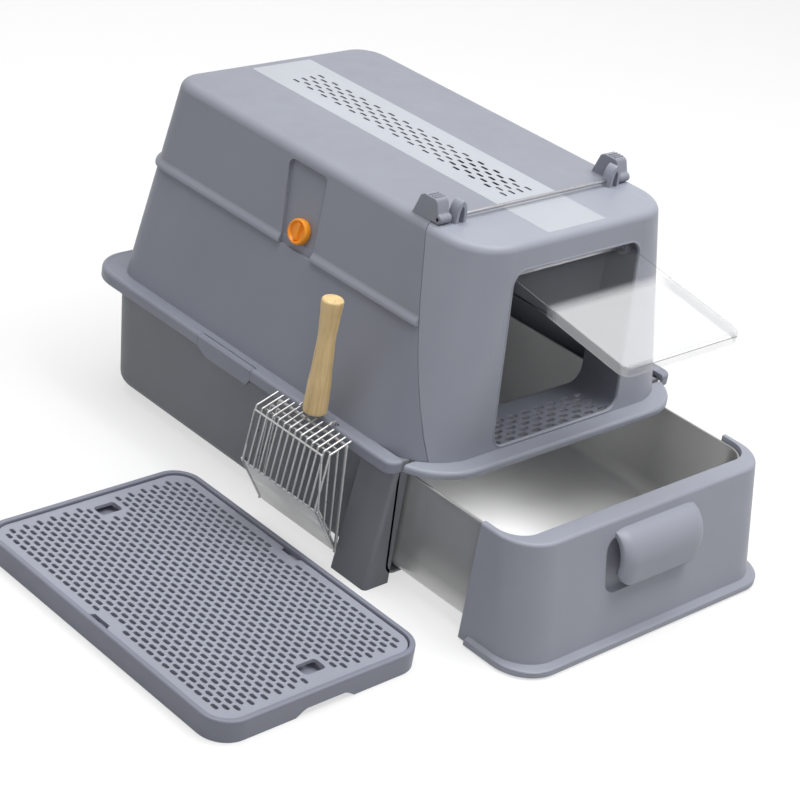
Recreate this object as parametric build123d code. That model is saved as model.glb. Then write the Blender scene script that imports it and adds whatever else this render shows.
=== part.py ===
from build123d import *
import math
import os

# Enclosed litter box with a steel litter drawer, a lift-up lid, a clear swing flap,
# a wire scoop hung on its side rim and a slotted drip tray beside it.
# Millimetres. X across the front, Y from the entrance (-Y) to the back, Z up, floor at 0.
# The origin is the underside of the middle foot, under the centre of the side rim.

# ---- plastic walls and working gaps
WALL = 3.0
SEAT_GAP = 0.3            # between pieces that only rest on each other
SEAM_GAP = 0.6            # between the lid and what it closes on
RUN_GAP = 0.06            # radial clearance of a pin that turns in its hole

# ---- half widths: all of them follow the tub's
TUB_TOP_HALF_W = 207.7
TUB_DRAFT = 8.1           # how much narrower the tub is below
RIM_OVERHANG = 19.3       # of the side rim past the tub's wall
RIM_LEDGE = 17.0          # of the side rim past the enclosure's wall
WALL_LEAN = 55.7          # of the enclosure's side walls, deck to roof
LIP_OVERHANG = 3.0
POST_W = 15.1             # of a front post at its top
POST_FLARE = 20.7
PAN_SIDE_GAP = 4.0        # between the pan and a post
FACE_SIDE = 10.0          # of the drawer's face past the pan
ROLL_SIDE_GAP = 2.3       # between the pan's wall and the face's wing
SKIRT_FLARE = 6.0
SCOOP_STAND_OFF = 6.5     # of the scoop's frame from the rim
TRAY_STAND_OFF = 30.8     # of the tray from the scoop's frame
EAR_ROOM = 23.3           # of the lid's ears inside the roof's edge
ARCH_GAP = 3.0            # between an arch and its ear

# ---- enclosure (middle shell, lid and front frame share this outline)
DECK_Z = 160.0            # top of the side rim
RIDGE_Z = 289.5           # where the lid meets the middle shell
ROOF_Z = 388.3
DECK_HALF_W = TUB_TOP_HALF_W + RIM_OVERHANG - RIM_LEDGE
ROOF_HALF_W = DECK_HALF_W - WALL_LEAN
DECK_BACK = 256.0
ROOF_BACK = 263.5
DECK_FRONT = 266.5
ROOF_FRONT = 246.9
DECK_CORNER_R = 76.0
ROOF_CORNER_R = 52.0
BACK_CORNER_R = 36.0
ROOF_EDGE_R = 9.0
SEAM_DECK_Y = -250.0      # the front seam leans forwards on its way down
SEAM_ROOF_Y = -166.0
BEAD_OUT = 4.0            # lip round the lid's lower edge
BEAD_H = 7.0
TONGUE_H = 9.0            # the middle shell's inner ledge that the lid drops over

# ---- side rim of the middle shell
RIM_HALF_W = TUB_TOP_HALF_W + RIM_OVERHANG
RIM_BACK = 288.3
RIM_FRONT = -243.0
RIM_CORNER_R = 47.0
RIM_FRONT_R = 12.0
RIM_SKIRT_Z = 146.0
RIM_PLATE = 5.0
RIM_SKIRT = 3.6

# ---- lip of the front frame
LIP_HALF_W = DECK_HALF_W + LIP_OVERHANG
LIP_FRONT = 288.3
LIP_CORNER_R = 72.0
LIP_TOP_Z = 154.5
LIP_PLATE = 4.0

# ---- entrance and the sleeve behind it
DOOR_HALF_W = 100.0
DOOR_LOW_Z = 156.5
DOOR_TOP_Z = 358.0
DOOR_CORNER_R = 17.0
SLEEVE_BACK_Y = -193.0
SLEEVE_BACK_HALF_W = 118.0
SLEEVE_FLOOR_Z = 153.0
STEP_ROWS = 17
STEP_COLUMNS = 3
STEP_SLOT = (11.0, 5.0)
STEP_HALF_W = 90.5
STEP_FRONT_Y = -267.4
STEP_BACK_Y = -212.2

# ---- clear flap
FLAP_HALF_W = 92.9
FLAP_LENGTH = 185.0
FLAP_T = 2.6
FLAP_LIP = 12.0
FLAP_CORNER_R = 15.0
FLAP_PIN_Y = -228.0
FLAP_PIN_Z = 342.0
FLAP_PIN_R = 3.0
FLAP_DROOP = 8.8          # degrees below level, as it hangs open
FLAP_KNUCKLE_L = 26.0
FLAP_KNUCKLE_X = 66.0

# ---- lid hinge: rod, ears on the lid, arches on the front frame
ROD_R = 2.0
ROD_Y = -174.0
ROD_Z = 394.0
EAR_INNER_X = ROOF_HALF_W - EAR_ROOM
EAR_W = 17.0
EAR_TOP_Z = 414.0
EAR_BACK_Y = -136.0
ARCH_W = 16.0
ARCH_INNER_X = EAR_INNER_X - ARCH_GAP - ARCH_W
ARCH_FRONT = 7.5          # how far an arch reaches before and behind the rod
ARCH_BACK = 5.2
ARCH_TOP_SHARE = 0.6
ARCH_TOP_Z = 413.0
ARCH_HOLLOW_W = 7.0
KNUCKLE_WALL = 3.2

# ---- roof strip with its vent, and the strip on the front frame
STRIP_HALF_W = 45.5
STRIP_T = 1.2
STRIP_BACK_GAP = 15.5
VENT_BACK_Y = 210.3
VENT_FRONT_Y = -157.2
VENT_HALF_W = 22.6
VENT_ROWS = 7
VENT_COLUMNS = 15
VENT_SLOT = (4.2, 10.5)
STAGGER = 0.5             # share of the pitch that every other row of slots is moved by

# ---- side pockets and lock knobs
POCKET_DEPTH = 4.5
POCKET_TOP_Z = 377.0
POCKET_LOW_Y = (-33.0, 19.0)
POCKET_HIGH_Y = (-18.0, 44.0)
KNOB_Z = 310.6
KNOB_Y = -2.0
KNOB_R = 14.5
KNOB_H = 9.0
KNOB_GRIP = (19.0, 6.0, 3.0)
KNOB_DISH_R = 10.4
KNOB_EDGE_R = 1.8
KNOB_SHAFT_R = 4.0
CAM_L = 26.0
CAM_W = 10.0
CAM_T = 3.0

# ---- side clips on the rim
CLIP_MIDDLE_Y = 31.0
CLIP_L = 92.0
CLIP_LOW_Z = 136.5
CLIP_T = 3.0
CLIP_PIN_R = 1.5
CLIP_PIN_REACH = 3.0
CLIP_NOTCH = 5.0
CLIP_LUG_Z = 151.0
CLIP_SLANT = (6.0, 22.0)   # lower corners cut off, towards the front and the back

# ---- base tub
TUB_LOW_HALF_W = TUB_TOP_HALF_W - TUB_DRAFT
TUB_TOP_BACK = 269.8
TUB_LOW_BACK = 261.8
TUB_FRONT = -238.0
TUB_LOW_Z = 11.0
TUB_TOP_Z = DECK_Z - RIM_PLATE - SEAT_GAP
TUB_CORNER_R = 42.0
TUB_LOW_EDGE_R = 14.0
TUB_RIM_OUT = 10.5
POST_INNER_X = TUB_TOP_HALF_W - POST_W
POST_DEPTH = 53.0
POST_FOOT_HALF_W = TUB_TOP_HALF_W + POST_FLARE
POST_CORNER_R = 5.0
RUNNER_H = 1.2
RUNNER_W = 10.0
RUNNER_X = 120.0
FOOT_R = 16.0
FOOT_X = 140.0
FOOT_Y = 190.0

# ---- drawer: steel pan and plastic front
PAN_HALF_W = POST_INNER_X - PAN_SIDE_GAP
PAN_FRONT_Y = -397.0
PAN_BACK_Y = 133.0
PAN_TOP_Z = 137.0
PAN_T = 1.2
PAN_CORNER_R = 30.0
PAN_LOW_EDGE_R = 14.0
PAN_ROLL_R = 1.8
FACE_HALF_W = PAN_HALF_W + FACE_SIDE
FACE_WING_BACK_Y = -353.5
FACE_TOP_Y = -420.0
FACE_LOW_Y = -447.0
FACE_INNER_HALF_W = PAN_HALF_W + ROLL_SIDE_GAP
FACE_TOP_Z = 142.7
FACE_LOW_Z = 1.5
FACE_CORNER_R = 45.0
FACE_EDGE_R = 3.5
SKIRT_HALF_W = FACE_HALF_W + SKIRT_FLARE
SKIRT_FRONT_Y = -455.0
SKIRT_EDGE_H = 9.5
SKIRT_TOP_Z = 12.0
FACE_WALL = 3.0
SKIRT_BACK_Y = -367.0
PULL_HALF_W = 75.0
PULL_TOP_Z = 135.0
PULL_LOW_Z = 62.0
PULL_OUT = 31.0
PULL_DROP = 38.0
PULL_T = 5.0
PULL_CORNER_R = 16.0
PULL_RECESS = 7.0
PULL_RECESS_SIDE = 12.0

# ---- scoop hung on the rim
SCOOP_MIDDLE_Y = -128.5
SCOOP_HALF_W = 63.0
SCOOP_INNER_X = -RIM_HALF_W - SCOOP_STAND_OFF
SCOOP_DEPTH = 37.0
SCOOP_TOP_Z = 161.0
SCOOP_LOW_Z = 26.0
SCOOP_PLATE_Z = 86.0
SCOOP_PLATE_T = 1.0
SCOOP_WIRES = 14
SCOOP_LONG_WIRES = 3
WIRE_R = 1.1
FRAME_WIRE_R = 1.8
GRIP_LOW_Z = 167.0
GRIP_TOP_Z = 301.0
GRIP_BASE_R = 13.4
GRIP_END_R = 11.5
GRIP_END_H = 6.0
GRIP_NECK_R = 11.0
GRIP_TOP_EDGE = 2.0
GRIP_NECK_SHARE = 0.4
GRIP_WAIST_SHARE = 0.66
GRIP_WAIST_R = 9.8
GRIP_TOP_R = 12.0
HOOK_OFFSET = 24.0
HOOK_REACH = 12.3
HOOK_LOW_Z = 152.0

# ---- drip tray and its grate
TRAY_SIZE = (273.0, 404.0)
TRAY_MIDDLE = (SCOOP_INNER_X - TRAY_STAND_OFF - TRAY_SIZE[0] / 2, -170.5)
TRAY_H = 25.2
TRAY_CORNER_R = 32.0
TRAY_RIM = 6.5
TRAY_FLOOR_Z = 10.0
TRAY_FLOOR_T = 2.5
TRAY_HAND = (86.0, 54.0, 8.0)
GRATE_INSET = 1.2
GRATE_TOP_Z = 22.6
GRATE_T = 4.0
GRATE_COLUMNS = 11
GRATE_ROWS = 22
GRATE_SLOT = (9.0, 12.5)
GRATE_MARGIN = (14.0, 20.0)
GRATE_HOLE = (27.5, 18.0)
GRATE_HOLE_INSET = 34.5
GRATE_SHIFT = (7.8, 2.0)   # of the finger holes and notches from the tray's middle
GRATE_NOTCH = (24.0, 6.0)
GRATE_NOTCH_FLARE = 4.0

FAR = 700.0               # reach of cutting blocks, past every piece


def between(low, high, share):
    """Value at a share of the way from low to high."""
    return low + (high - low) * share


def plate(half_w, front, back, r_front, r_back, z=0.0, middle_x=0.0):
    """Flat face with rounded corners; front and back are its Y limits."""
    shape = Pos(middle_x, (front + back) / 2) * Rectangle(2 * half_w, back - front)
    if r_front > 0:
        shape = fillet(shape.vertices().sort_by(Axis.Y)[:2], r_front)
    if r_back > 0:
        shape = fillet(shape.vertices().sort_by(Axis.Y)[-2:], r_back)
    return Pos(0, 0, z) * shape


def block(x_low, x_high, y_low, y_high, z_low, z_high):
    """Box from its six limits."""
    middle = Pos((x_low + x_high) / 2, (y_low + y_high) / 2, (z_low + z_high) / 2)
    return middle * Box(x_high - x_low, y_high - y_low, z_high - z_low)


def side_prism(points, x_low, x_high):
    """Prism along X on a (y, z) outline."""
    face = Plane.YZ * make_face(Polyline(*points, close=True))
    return Pos(x_low, 0, 0) * extrude(face, amount=x_high - x_low, dir=(1, 0, 0))


def front_prism(points, y_low, y_high):
    """Prism along Y on an (x, z) outline."""
    face = Plane.XZ * make_face(Polyline(*points, close=True))
    return Pos(0, y_low, 0) * extrude(face, amount=y_high - y_low, dir=(0, 1, 0))


def rod(start, end, radius):
    """Round bar between two points."""
    run = Vector(*end) - Vector(*start)
    return Plane(origin=start, z_dir=run) * Cylinder(radius, run.length, align=BASE)


BASE = (Align.CENTER, Align.CENTER, Align.MIN)


def save(name, *solids):
    """Write one node; several solids stay separate."""
    found = [one for solid in solids for one in solid.solids()]
    shape = found[0] if len(found) == 1 else Compound(children=found)
    export_step(shape, f"parts/{name}.step")
    return shape


# ------------------------------------------------------------------ enclosure
def share_of(z):
    return (z - DECK_Z) / (ROOF_Z - DECK_Z)


def half_width(z):
    return between(DECK_HALF_W, ROOF_HALF_W, share_of(z))


def front_y(z):
    return -between(DECK_FRONT, ROOF_FRONT, share_of(z))


def seam_y(z):
    return between(SEAM_DECK_Y, SEAM_ROOF_Y, share_of(z))


def section(z, inset=0.0):
    """Outline of the enclosure at a height, drawn in by inset."""
    share = share_of(z)
    corner = between(DECK_CORNER_R, ROOF_CORNER_R, share) - inset
    back = between(DECK_BACK, ROOF_BACK, share) - inset
    return plate(half_width(z) - inset, front_y(z) + inset, back, corner, BACK_CORNER_R - inset, z)


def ring(z_low, z_high, outer, inner, outer_top=None):
    """Band of the enclosure's wall between two insets."""
    top = outer if outer_top is None else outer_top
    body = loft([section(z_low, outer), section(z_high, top)], ruled=True)
    return body - loft([section(z_low, inner), section(z_high, inner)], ruled=True)


def before_seam(gap=0.0):
    """Everything in front of the slanted seam."""
    low, high = (seam_y(-FAR) - gap, -FAR), (seam_y(FAR) - gap, FAR)
    return side_prism([(-2 * FAR, -FAR), low, high, (-2 * FAR, FAR)], -FAR, FAR)


def shell():
    """Walls and roof of the whole enclosure in one piece."""
    outer = loft([section(LIP_TOP_Z), section(ROOF_Z)], ruled=True)
    outer = fillet(outer.edges().group_by(Axis.Z)[-1], ROOF_EDGE_R)
    inner = loft([section(LIP_TOP_Z, WALL), section(ROOF_Z - WALL, WALL)], ruled=True)
    inner = fillet(inner.edges().group_by(Axis.Z)[-1], ROOF_EDGE_R - WALL)
    return outer - inner


def side_wall_plane(y, z, sign):
    """Plane on the outer face of a side wall, its local z pointing out."""
    lean = (DECK_HALF_W - ROOF_HALF_W) / (ROOF_Z - DECK_Z)
    outward = Vector(sign, 0, lean)
    return Plane(origin=(sign * half_width(z), y, z), x_dir=(0, sign, 0), z_dir=outward)


def pocket_prism(sign, grow, deep, out):
    """Slanted pocket outline on a side wall, from deep inside it to out past it."""
    plane = side_wall_plane(0, RIDGE_Z, sign)
    slope = plane.z_dir.X * sign
    low = -FAR if grow == 0 else 0.0
    high = (POCKET_TOP_Z - RIDGE_Z) / slope + grow
    lean = (POCKET_HIGH_Y[0] - POCKET_LOW_Y[0], POCKET_HIGH_Y[1] - POCKET_LOW_Y[1])
    run = (POCKET_TOP_Z - RIDGE_Z) / slope
    left = [POCKET_LOW_Y[0] + lean[0] * at / run - grow for at in (low, high)]
    right = [POCKET_LOW_Y[1] + lean[1] * at / run + grow for at in (low, high)]
    outline = [(left[0], low), (right[0], low), (right[1], high), (left[1], high)]
    points = [(sign * y, up) for y, up in outline]
    face = plane * make_face(Polyline(*points, close=True))
    return extrude(Pos(plane.z_dir * -deep) * face, amount=deep + out, dir=plane.z_dir)


def knob_plane(sign, depth=POCKET_DEPTH):
    """Plane on the pocket's floor, centred on the knob."""
    plane = side_wall_plane(KNOB_Y, KNOB_Z, sign)
    return plane.offset(-depth)


def make_lid():
    lid = shell() - before_seam(-SEAM_GAP)
    lid &= block(-FAR, FAR, -FAR, FAR, RIDGE_Z + SEAM_GAP, FAR)
    low = RIDGE_Z + SEAM_GAP
    bead = ring(low, low + BEAD_H, -BEAD_OUT, WALL / 2, -BEAD_OUT / 3) - before_seam(-SEAM_GAP)
    lid += bead
    outside = loft([section(low), section(ROOF_Z)], ruled=True)
    outside &= block(-FAR, FAR, -FAR, FAR, low, FAR)
    swing = block(-FAR, FAR, -FAR, ROD_Y, -FAR, RIDGE_Z + 4 * WALL)
    lid -= swing - rod((-FAR, ROD_Y, ROD_Z), (FAR, ROD_Y, ROD_Z), ROD_Z - low)
    for sign in (-1, 1):
        lid += pocket_prism(sign, WALL, POCKET_DEPTH + WALL, 0) & outside
        lid -= pocket_prism(sign, 0, POCKET_DEPTH, 2 * KNOB_H)
        hole = knob_plane(sign) * Cylinder(KNOB_SHAFT_R + RUN_GAP, 4 * WALL)
        lid -= hole
        lid += lid_ear(sign)
    lid -= block(-STRIP_HALF_W - SEAT_GAP, STRIP_HALF_W + SEAT_GAP, seam_y(ROOF_Z),
                 ROOF_BACK - STRIP_BACK_GAP + SEAT_GAP, ROOF_Z - STRIP_T, FAR)
    lid -= slots(VENT_ROWS, VENT_COLUMNS, VENT_SLOT, 0, 2 * VENT_HALF_W,
                 VENT_FRONT_Y, VENT_BACK_Y, ROOF_Z - 2 * WALL, ROOF_Z + WALL, STAGGER)
    return lid


def slots(rows, columns, slot, middle_x, width, y_low, y_high, z_low, z_high, shift=0.0):
    """Grid of rectangular through cuts; a shift moves every other row along Y, one slot shorter."""
    cuts = []
    pitch_x = width / rows
    pitch_y = (y_high - y_low) / columns
    for row in range(rows):
        x = middle_x - width / 2 + (row + 0.5) * pitch_x
        stagger = shift * pitch_y if row % 2 else 0.0
        for column in range(columns - 1 if stagger else columns):
            y = y_low + (column + 0.5) * pitch_y + stagger
            cuts.append(block(x - slot[0] / 2, x + slot[0] / 2, y - slot[1] / 2,
                              y + slot[1] / 2, z_low, z_high))
    return Compound(children=cuts)


def lid_ear(sign):
    """Ear on the lid that turns on the hinge rod."""
    radius = ROD_R + KNUCKLE_WALL
    middle = sign * (EAR_INNER_X + EAR_W / 2)
    roof = ROOF_Z - WALL
    points = [(ROD_Y, ROD_Z - radius), (ROD_Y, ROD_Z + radius), (ROD_Y + radius, EAR_TOP_Z),
              (EAR_BACK_Y - 2 * radius, EAR_TOP_Z), (EAR_BACK_Y, roof), (seam_y(ROOF_Z) + 1, roof)]
    ear = side_prism(points, middle - EAR_W / 2, middle + EAR_W / 2)
    low = (middle - EAR_W / 2, ROD_Y, ROD_Z)
    high = (middle + EAR_W / 2, ROD_Y, ROD_Z)
    ear -= side_prism([(ROD_Y - FAR, -FAR), (ROD_Y - FAR, ROD_Z - radius),
                       (seam_y(ROOF_Z) + 1, ROD_Z - radius), (seam_y(ROOF_Z) + 1, -FAR)], -FAR, FAR)
    return ear + rod(low, high, radius) - rod(low, high, ROD_R + RUN_GAP)


def frame_arch(sign):
    """Arch on the front frame that holds the hinge rod."""
    middle = sign * (ARCH_INNER_X + ARCH_W / 2)
    front, back = ROD_Y - ARCH_FRONT, ROD_Y + ARCH_BACK
    low = ROOF_Z - WALL / 2
    half, hollow = ARCH_W / 2, ARCH_HOLLOW_W / 2
    top_half, top_hollow = half * ARCH_TOP_SHARE, hollow * ARCH_TOP_SHARE
    outline = [(middle - half, low), (middle + half, low), (middle + top_half, ARCH_TOP_Z),
               (middle - top_half, ARCH_TOP_Z)]
    arch = front_prism(outline, front, back)
    hole = [(middle - hollow, ROOF_Z), (middle + hollow, ROOF_Z),
            (middle + top_hollow, ARCH_TOP_Z - 2 * WALL), (middle - top_hollow, ARCH_TOP_Z - 2 * WALL)]
    return arch - front_prism(hole, front, back)


def make_hinge_rod():
    reach = EAR_INNER_X + EAR_W
    return rod((-reach, ROD_Y, ROD_Z), (reach, ROD_Y, ROD_Z), ROD_R)


def rim_ring():
    """Side rim: a plate with a turned-down skirt that covers the tub's own rim."""
    outer = plate(RIM_HALF_W, RIM_FRONT, RIM_BACK, RIM_FRONT_R, RIM_CORNER_R, RIM_SKIRT_Z)
    body = extrude(outer, amount=DECK_Z - RIM_SKIRT_Z)
    body = fillet(body.edges().group_by(Axis.Z)[-1], RIM_PLATE - SEAT_GAP * 2)
    inner_w, inner_back = RIM_HALF_W - RIM_SKIRT, RIM_BACK - RIM_SKIRT
    under = plate(inner_w, RIM_FRONT + RIM_SKIRT, inner_back, RIM_FRONT_R - RIM_SKIRT,
                  RIM_CORNER_R - RIM_SKIRT, RIM_SKIRT_Z)
    body -= extrude(under, amount=DECK_Z - RIM_PLATE - RIM_SKIRT_Z)
    inside_w = DECK_HALF_W - WALL
    body -= block(-inside_w, inside_w, -FAR, RIM_FRONT + 2 * RIM_SKIRT, -FAR, DECK_Z)
    body -= extrude(section(DECK_Z, WALL).moved(Pos(0, 0, -RIM_PLATE)), amount=2 * RIM_PLATE)
    return body


def make_mid_shell():
    wall = shell() - before_seam(-SEAT_GAP)
    wall &= block(-FAR, FAR, -FAR, FAR, DECK_Z - RIM_PLATE / 2, RIDGE_Z)
    tongue = ring(RIDGE_Z - TONGUE_H, RIDGE_Z, WALL / 2, 2 * WALL)
    tongue += ring(RIDGE_Z - WALL, RIDGE_Z + TONGUE_H, WALL + SEAM_GAP, 2 * WALL)
    above = block(-FAR, FAR, -FAR, FAR, RIDGE_Z, FAR)
    tongue -= block(-FAR, FAR, -FAR, 2 * ROD_Y - seam_y(RIDGE_Z) + WALL, RIDGE_Z, FAR)
    middle = wall + rim_ring() + (tongue - before_seam(-2 * SEAM_GAP))
    middle -= before_seam(-SEAT_GAP) & block(-FAR, FAR, -FAR, FAR, DECK_Z, FAR)
    for sign in (-1, 1):
        middle -= clip_notch(sign)
        middle -= clip_pin(sign, CLIP_PIN_REACH + SEAT_GAP, RUN_GAP)
        middle -= pocket_prism(sign, WALL + SEAM_GAP, 3 * WALL, 0) & above
    hook_x = SCOOP_INNER_X + HOOK_REACH
    for side in (-1, 1):
        y = SCOOP_MIDDLE_Y + side * HOOK_OFFSET
        half = FRAME_WIRE_R + SEAT_GAP
        middle -= block(hook_x - half, hook_x + half, y - half, y + half, HOOK_LOW_Z, FAR)
    return middle


def clip_notch(sign):
    """Gap in the rim that a side clip sits in."""
    half = CLIP_L / 2 + SEAT_GAP
    x_low, x_high = sorted((sign * (RIM_HALF_W - RIM_SKIRT - CLIP_NOTCH), sign * FAR))
    return block(x_low, x_high, CLIP_MIDDLE_Y - half, CLIP_MIDDLE_Y + half, RIM_SKIRT_Z - 1, FAR)


def make_front_frame():
    front = shell() & before_seam(0)
    lip = extrude(plate(LIP_HALF_W, -LIP_FRONT, -RIM_BACK + LIP_CORNER_R * 2, LIP_CORNER_R, 0,
                        RIM_SKIRT_Z), amount=LIP_TOP_Z - RIM_SKIRT_Z)
    lip = fillet(lip.edges().group_by(Axis.Z)[-1], LIP_PLATE - SEAT_GAP)
    under = plate(LIP_HALF_W - RIM_SKIRT, -LIP_FRONT + RIM_SKIRT, FAR, LIP_CORNER_R - RIM_SKIRT, 0, 0)
    lip -= extrude(under, amount=LIP_TOP_Z - LIP_PLATE)
    opening = section(LIP_TOP_Z, WALL).moved(Pos(0, 0, -LIP_TOP_Z))
    lip -= extrude(opening, amount=FAR)
    lip &= block(-FAR, FAR, -FAR, RIM_FRONT - SEAT_GAP, -FAR, FAR)
    front += lip
    door = front_prism_round(DOOR_HALF_W, DOOR_LOW_Z, DOOR_TOP_Z, DOOR_CORNER_R, -FAR, SLEEVE_BACK_Y)
    front -= door
    for sign in (-1, 1):
        front += frame_arch(sign)
    reach = EAR_INNER_X
    front -= rod((-reach, ROD_Y, ROD_Z), (reach, ROD_Y, ROD_Z), ROD_R + RUN_GAP)
    front -= block(-STRIP_HALF_W - SEAT_GAP, STRIP_HALF_W + SEAT_GAP,
                   front_y(ROOF_Z) + ROOF_EDGE_R - SEAT_GAP, FAR, ROOF_Z - STRIP_T, FAR)
    return front


def front_prism_round(half_w, low, top, corner, y_low, y_high):
    """Rounded rectangular bar along Y."""
    face = Rectangle(2 * half_w, top - low)
    face = fillet(face.vertices(), corner)
    placed = Plane(origin=(0, y_low, (low + top) / 2), x_dir=(1, 0, 0), z_dir=(0, 1, 0)) * face
    return extrude(placed, amount=y_high - y_low, dir=(0, 1, 0))


def door_section(half_w, low, top, y):
    """Rounded door outline at one depth."""
    face = fillet(Rectangle(2 * half_w, top - low).vertices(), DOOR_CORNER_R)
    return Plane(origin=(0, y, (low + top) / 2), x_dir=(1, 0, 0), z_dir=(0, 1, 0)) * face


def make_entry_sleeve():
    """Funnel behind the door with the slotted step as its floor."""
    face_y = front_y(DOOR_LOW_Z) + WALL
    start, back = face_y + SEAT_GAP - 2 * WALL, SLEEVE_BACK_Y
    outer = loft([door_section(DOOR_HALF_W + WALL, DOOR_LOW_Z - WALL, DOOR_TOP_Z + WALL, start),
                  door_section(SLEEVE_BACK_HALF_W + WALL, SLEEVE_FLOOR_Z - WALL, DOOR_TOP_Z + WALL, back)],
                 ruled=True)
    inner = loft([door_section(DOOR_HALF_W, DOOR_LOW_Z, DOOR_TOP_Z, start),
                  door_section(SLEEVE_BACK_HALF_W, SLEEVE_FLOOR_Z, DOOR_TOP_Z, back)], ruled=True)
    sleeve = outer - inner
    cavity = loft([section(LIP_TOP_Z - LIP_PLATE, WALL + SEAT_GAP),
                   section(ROOF_Z - WALL - SEAT_GAP, WALL + SEAT_GAP)], ruled=True)
    sleeve &= cavity
    sleeve -= slots(STEP_ROWS, STEP_COLUMNS, STEP_SLOT, 0, 2 * STEP_HALF_W, STEP_FRONT_Y, STEP_BACK_Y,
                    0, SLEEVE_FLOOR_Z + 2 * WALL, STAGGER)
    for sign in (-1, 1):
        start_x, end_x = sorted((sign * (FLAP_HALF_W + 2 * SEAM_GAP), sign * (DOOR_HALF_W + 3 * WALL)))
        boss = rod((start_x, FLAP_PIN_Y, FLAP_PIN_Z), (end_x, FLAP_PIN_Y, FLAP_PIN_Z), 3 * FLAP_PIN_R)
        sleeve += boss & cavity
    reach = DOOR_HALF_W + 2 * WALL
    sleeve -= rod((-reach, FLAP_PIN_Y, FLAP_PIN_Z), (reach, FLAP_PIN_Y, FLAP_PIN_Z), FLAP_PIN_R + RUN_GAP)
    return sleeve


def make_flap_pin():
    reach = DOOR_HALF_W + 2 * WALL - SEAT_GAP
    return rod((-reach, FLAP_PIN_Y, FLAP_PIN_Z), (reach, FLAP_PIN_Y, FLAP_PIN_Z), FLAP_PIN_R)


def make_flap():
    """Clear door leaf with turned edges, modelled hanging and then swung open."""
    knuckle_r = FLAP_PIN_R + 2 * FLAP_T
    top = -knuckle_r
    leaf_face = Pos(0, (top - FLAP_LENGTH) / 2) * Rectangle(2 * FLAP_HALF_W, FLAP_LENGTH + top)
    leaf_face = fillet(leaf_face.vertices().sort_by(Axis.Y)[:2], FLAP_CORNER_R)
    upright = Plane(origin=(0, 0, 0), x_dir=(1, 0, 0), z_dir=(0, -1, 0))
    outer = extrude(upright * leaf_face, amount=FLAP_LIP, dir=(0, 1, 0))
    inner_face = offset(leaf_face, -FLAP_T)
    hollow = extrude(upright * inner_face, amount=FLAP_LIP, dir=(0, 1, 0))
    leaf = outer - Pos(0, FLAP_T, 0) * hollow
    leaf = Pos(0, -knuckle_r, 0) * leaf
    for sign in (-1, 1):
        x_low = sign * FLAP_KNUCKLE_X - FLAP_KNUCKLE_L / 2
        x_high = x_low + FLAP_KNUCKLE_L
        leaf += rod((x_low, 0, 0), (x_high, 0, 0), knuckle_r)
        leaf += block(x_low, x_high, -knuckle_r, -knuckle_r + FLAP_T, -2 * knuckle_r, 0)
    leaf -= rod((-FLAP_HALF_W, 0, 0), (FLAP_HALF_W, 0, 0), FLAP_PIN_R + RUN_GAP)
    return Pos(0, FLAP_PIN_Y, FLAP_PIN_Z) * Rot(FLAP_DROOP - 90, 0, 0) * leaf


def make_roof_strip():
    strip = block(-STRIP_HALF_W, STRIP_HALF_W, seam_y(ROOF_Z) + SEAM_GAP, ROOF_BACK - STRIP_BACK_GAP,
                  ROOF_Z - STRIP_T, ROOF_Z)
    return strip - slots(VENT_ROWS, VENT_COLUMNS, VENT_SLOT, 0, 2 * VENT_HALF_W,
                         VENT_FRONT_Y, VENT_BACK_Y, ROOF_Z - 2 * WALL, ROOF_Z + WALL, STAGGER)


def make_front_strip():
    return block(-STRIP_HALF_W, STRIP_HALF_W, front_y(ROOF_Z) + ROOF_EDGE_R, seam_y(ROOF_Z) - SEAT_GAP,
                 ROOF_Z - STRIP_T, ROOF_Z)


def make_knob(sign):
    """Round turn knob with a raised grip bar; its shaft goes through the pocket's floor."""
    plane = knob_plane(sign)
    body = plane * Pos(0, 0, SEAT_GAP) * Cylinder(KNOB_R, KNOB_H - SEAT_GAP, align=BASE)
    body = fillet(body.edges().filter_by(GeomType.CIRCLE).sort_by(
        lambda edge: edge.center().X * sign)[-1], KNOB_EDGE_R)
    body -= plane * Pos(0, 0, KNOB_H) * Cylinder(KNOB_DISH_R, KNOB_GRIP[2] * 2)
    length, width, height = KNOB_GRIP
    grip = plane * Pos(0, 0, KNOB_H - height) * Box(width, length, height, align=BASE)
    reach = WALL + CAM_T + 3 * SEAT_GAP
    shaft = plane * Pos(0, 0, 2 * SEAT_GAP) * Rot(180, 0, 0) * Cylinder(KNOB_SHAFT_R, reach, align=BASE)
    return body + grip + shaft


def make_cam(sign):
    """Flat tongue on the knob's inner end."""
    plane = knob_plane(sign, POCKET_DEPTH + WALL + SEAT_GAP + CAM_T)
    tongue = plane * Pos(sign * CAM_L / 2 - sign * CAM_W / 2, 0, 0) * Box(CAM_L, CAM_W, CAM_T, align=BASE)
    return tongue - plane * Cylinder(KNOB_SHAFT_R, 4 * CAM_T)


def clip_pin(sign, reach, gap=0.0):
    """The clip's hinge pin, reaching past both of its ends."""
    x = sign * (RIM_HALF_W - RIM_SKIRT - CLIP_NOTCH + SEAT_GAP + RIM_PLATE / 2)
    z = DECK_Z - RIM_PLATE / 2
    half = CLIP_L / 2 + reach
    return rod((x, CLIP_MIDDLE_Y - half, z), (x, CLIP_MIDDLE_Y + half, z), CLIP_PIN_R + gap)


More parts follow.
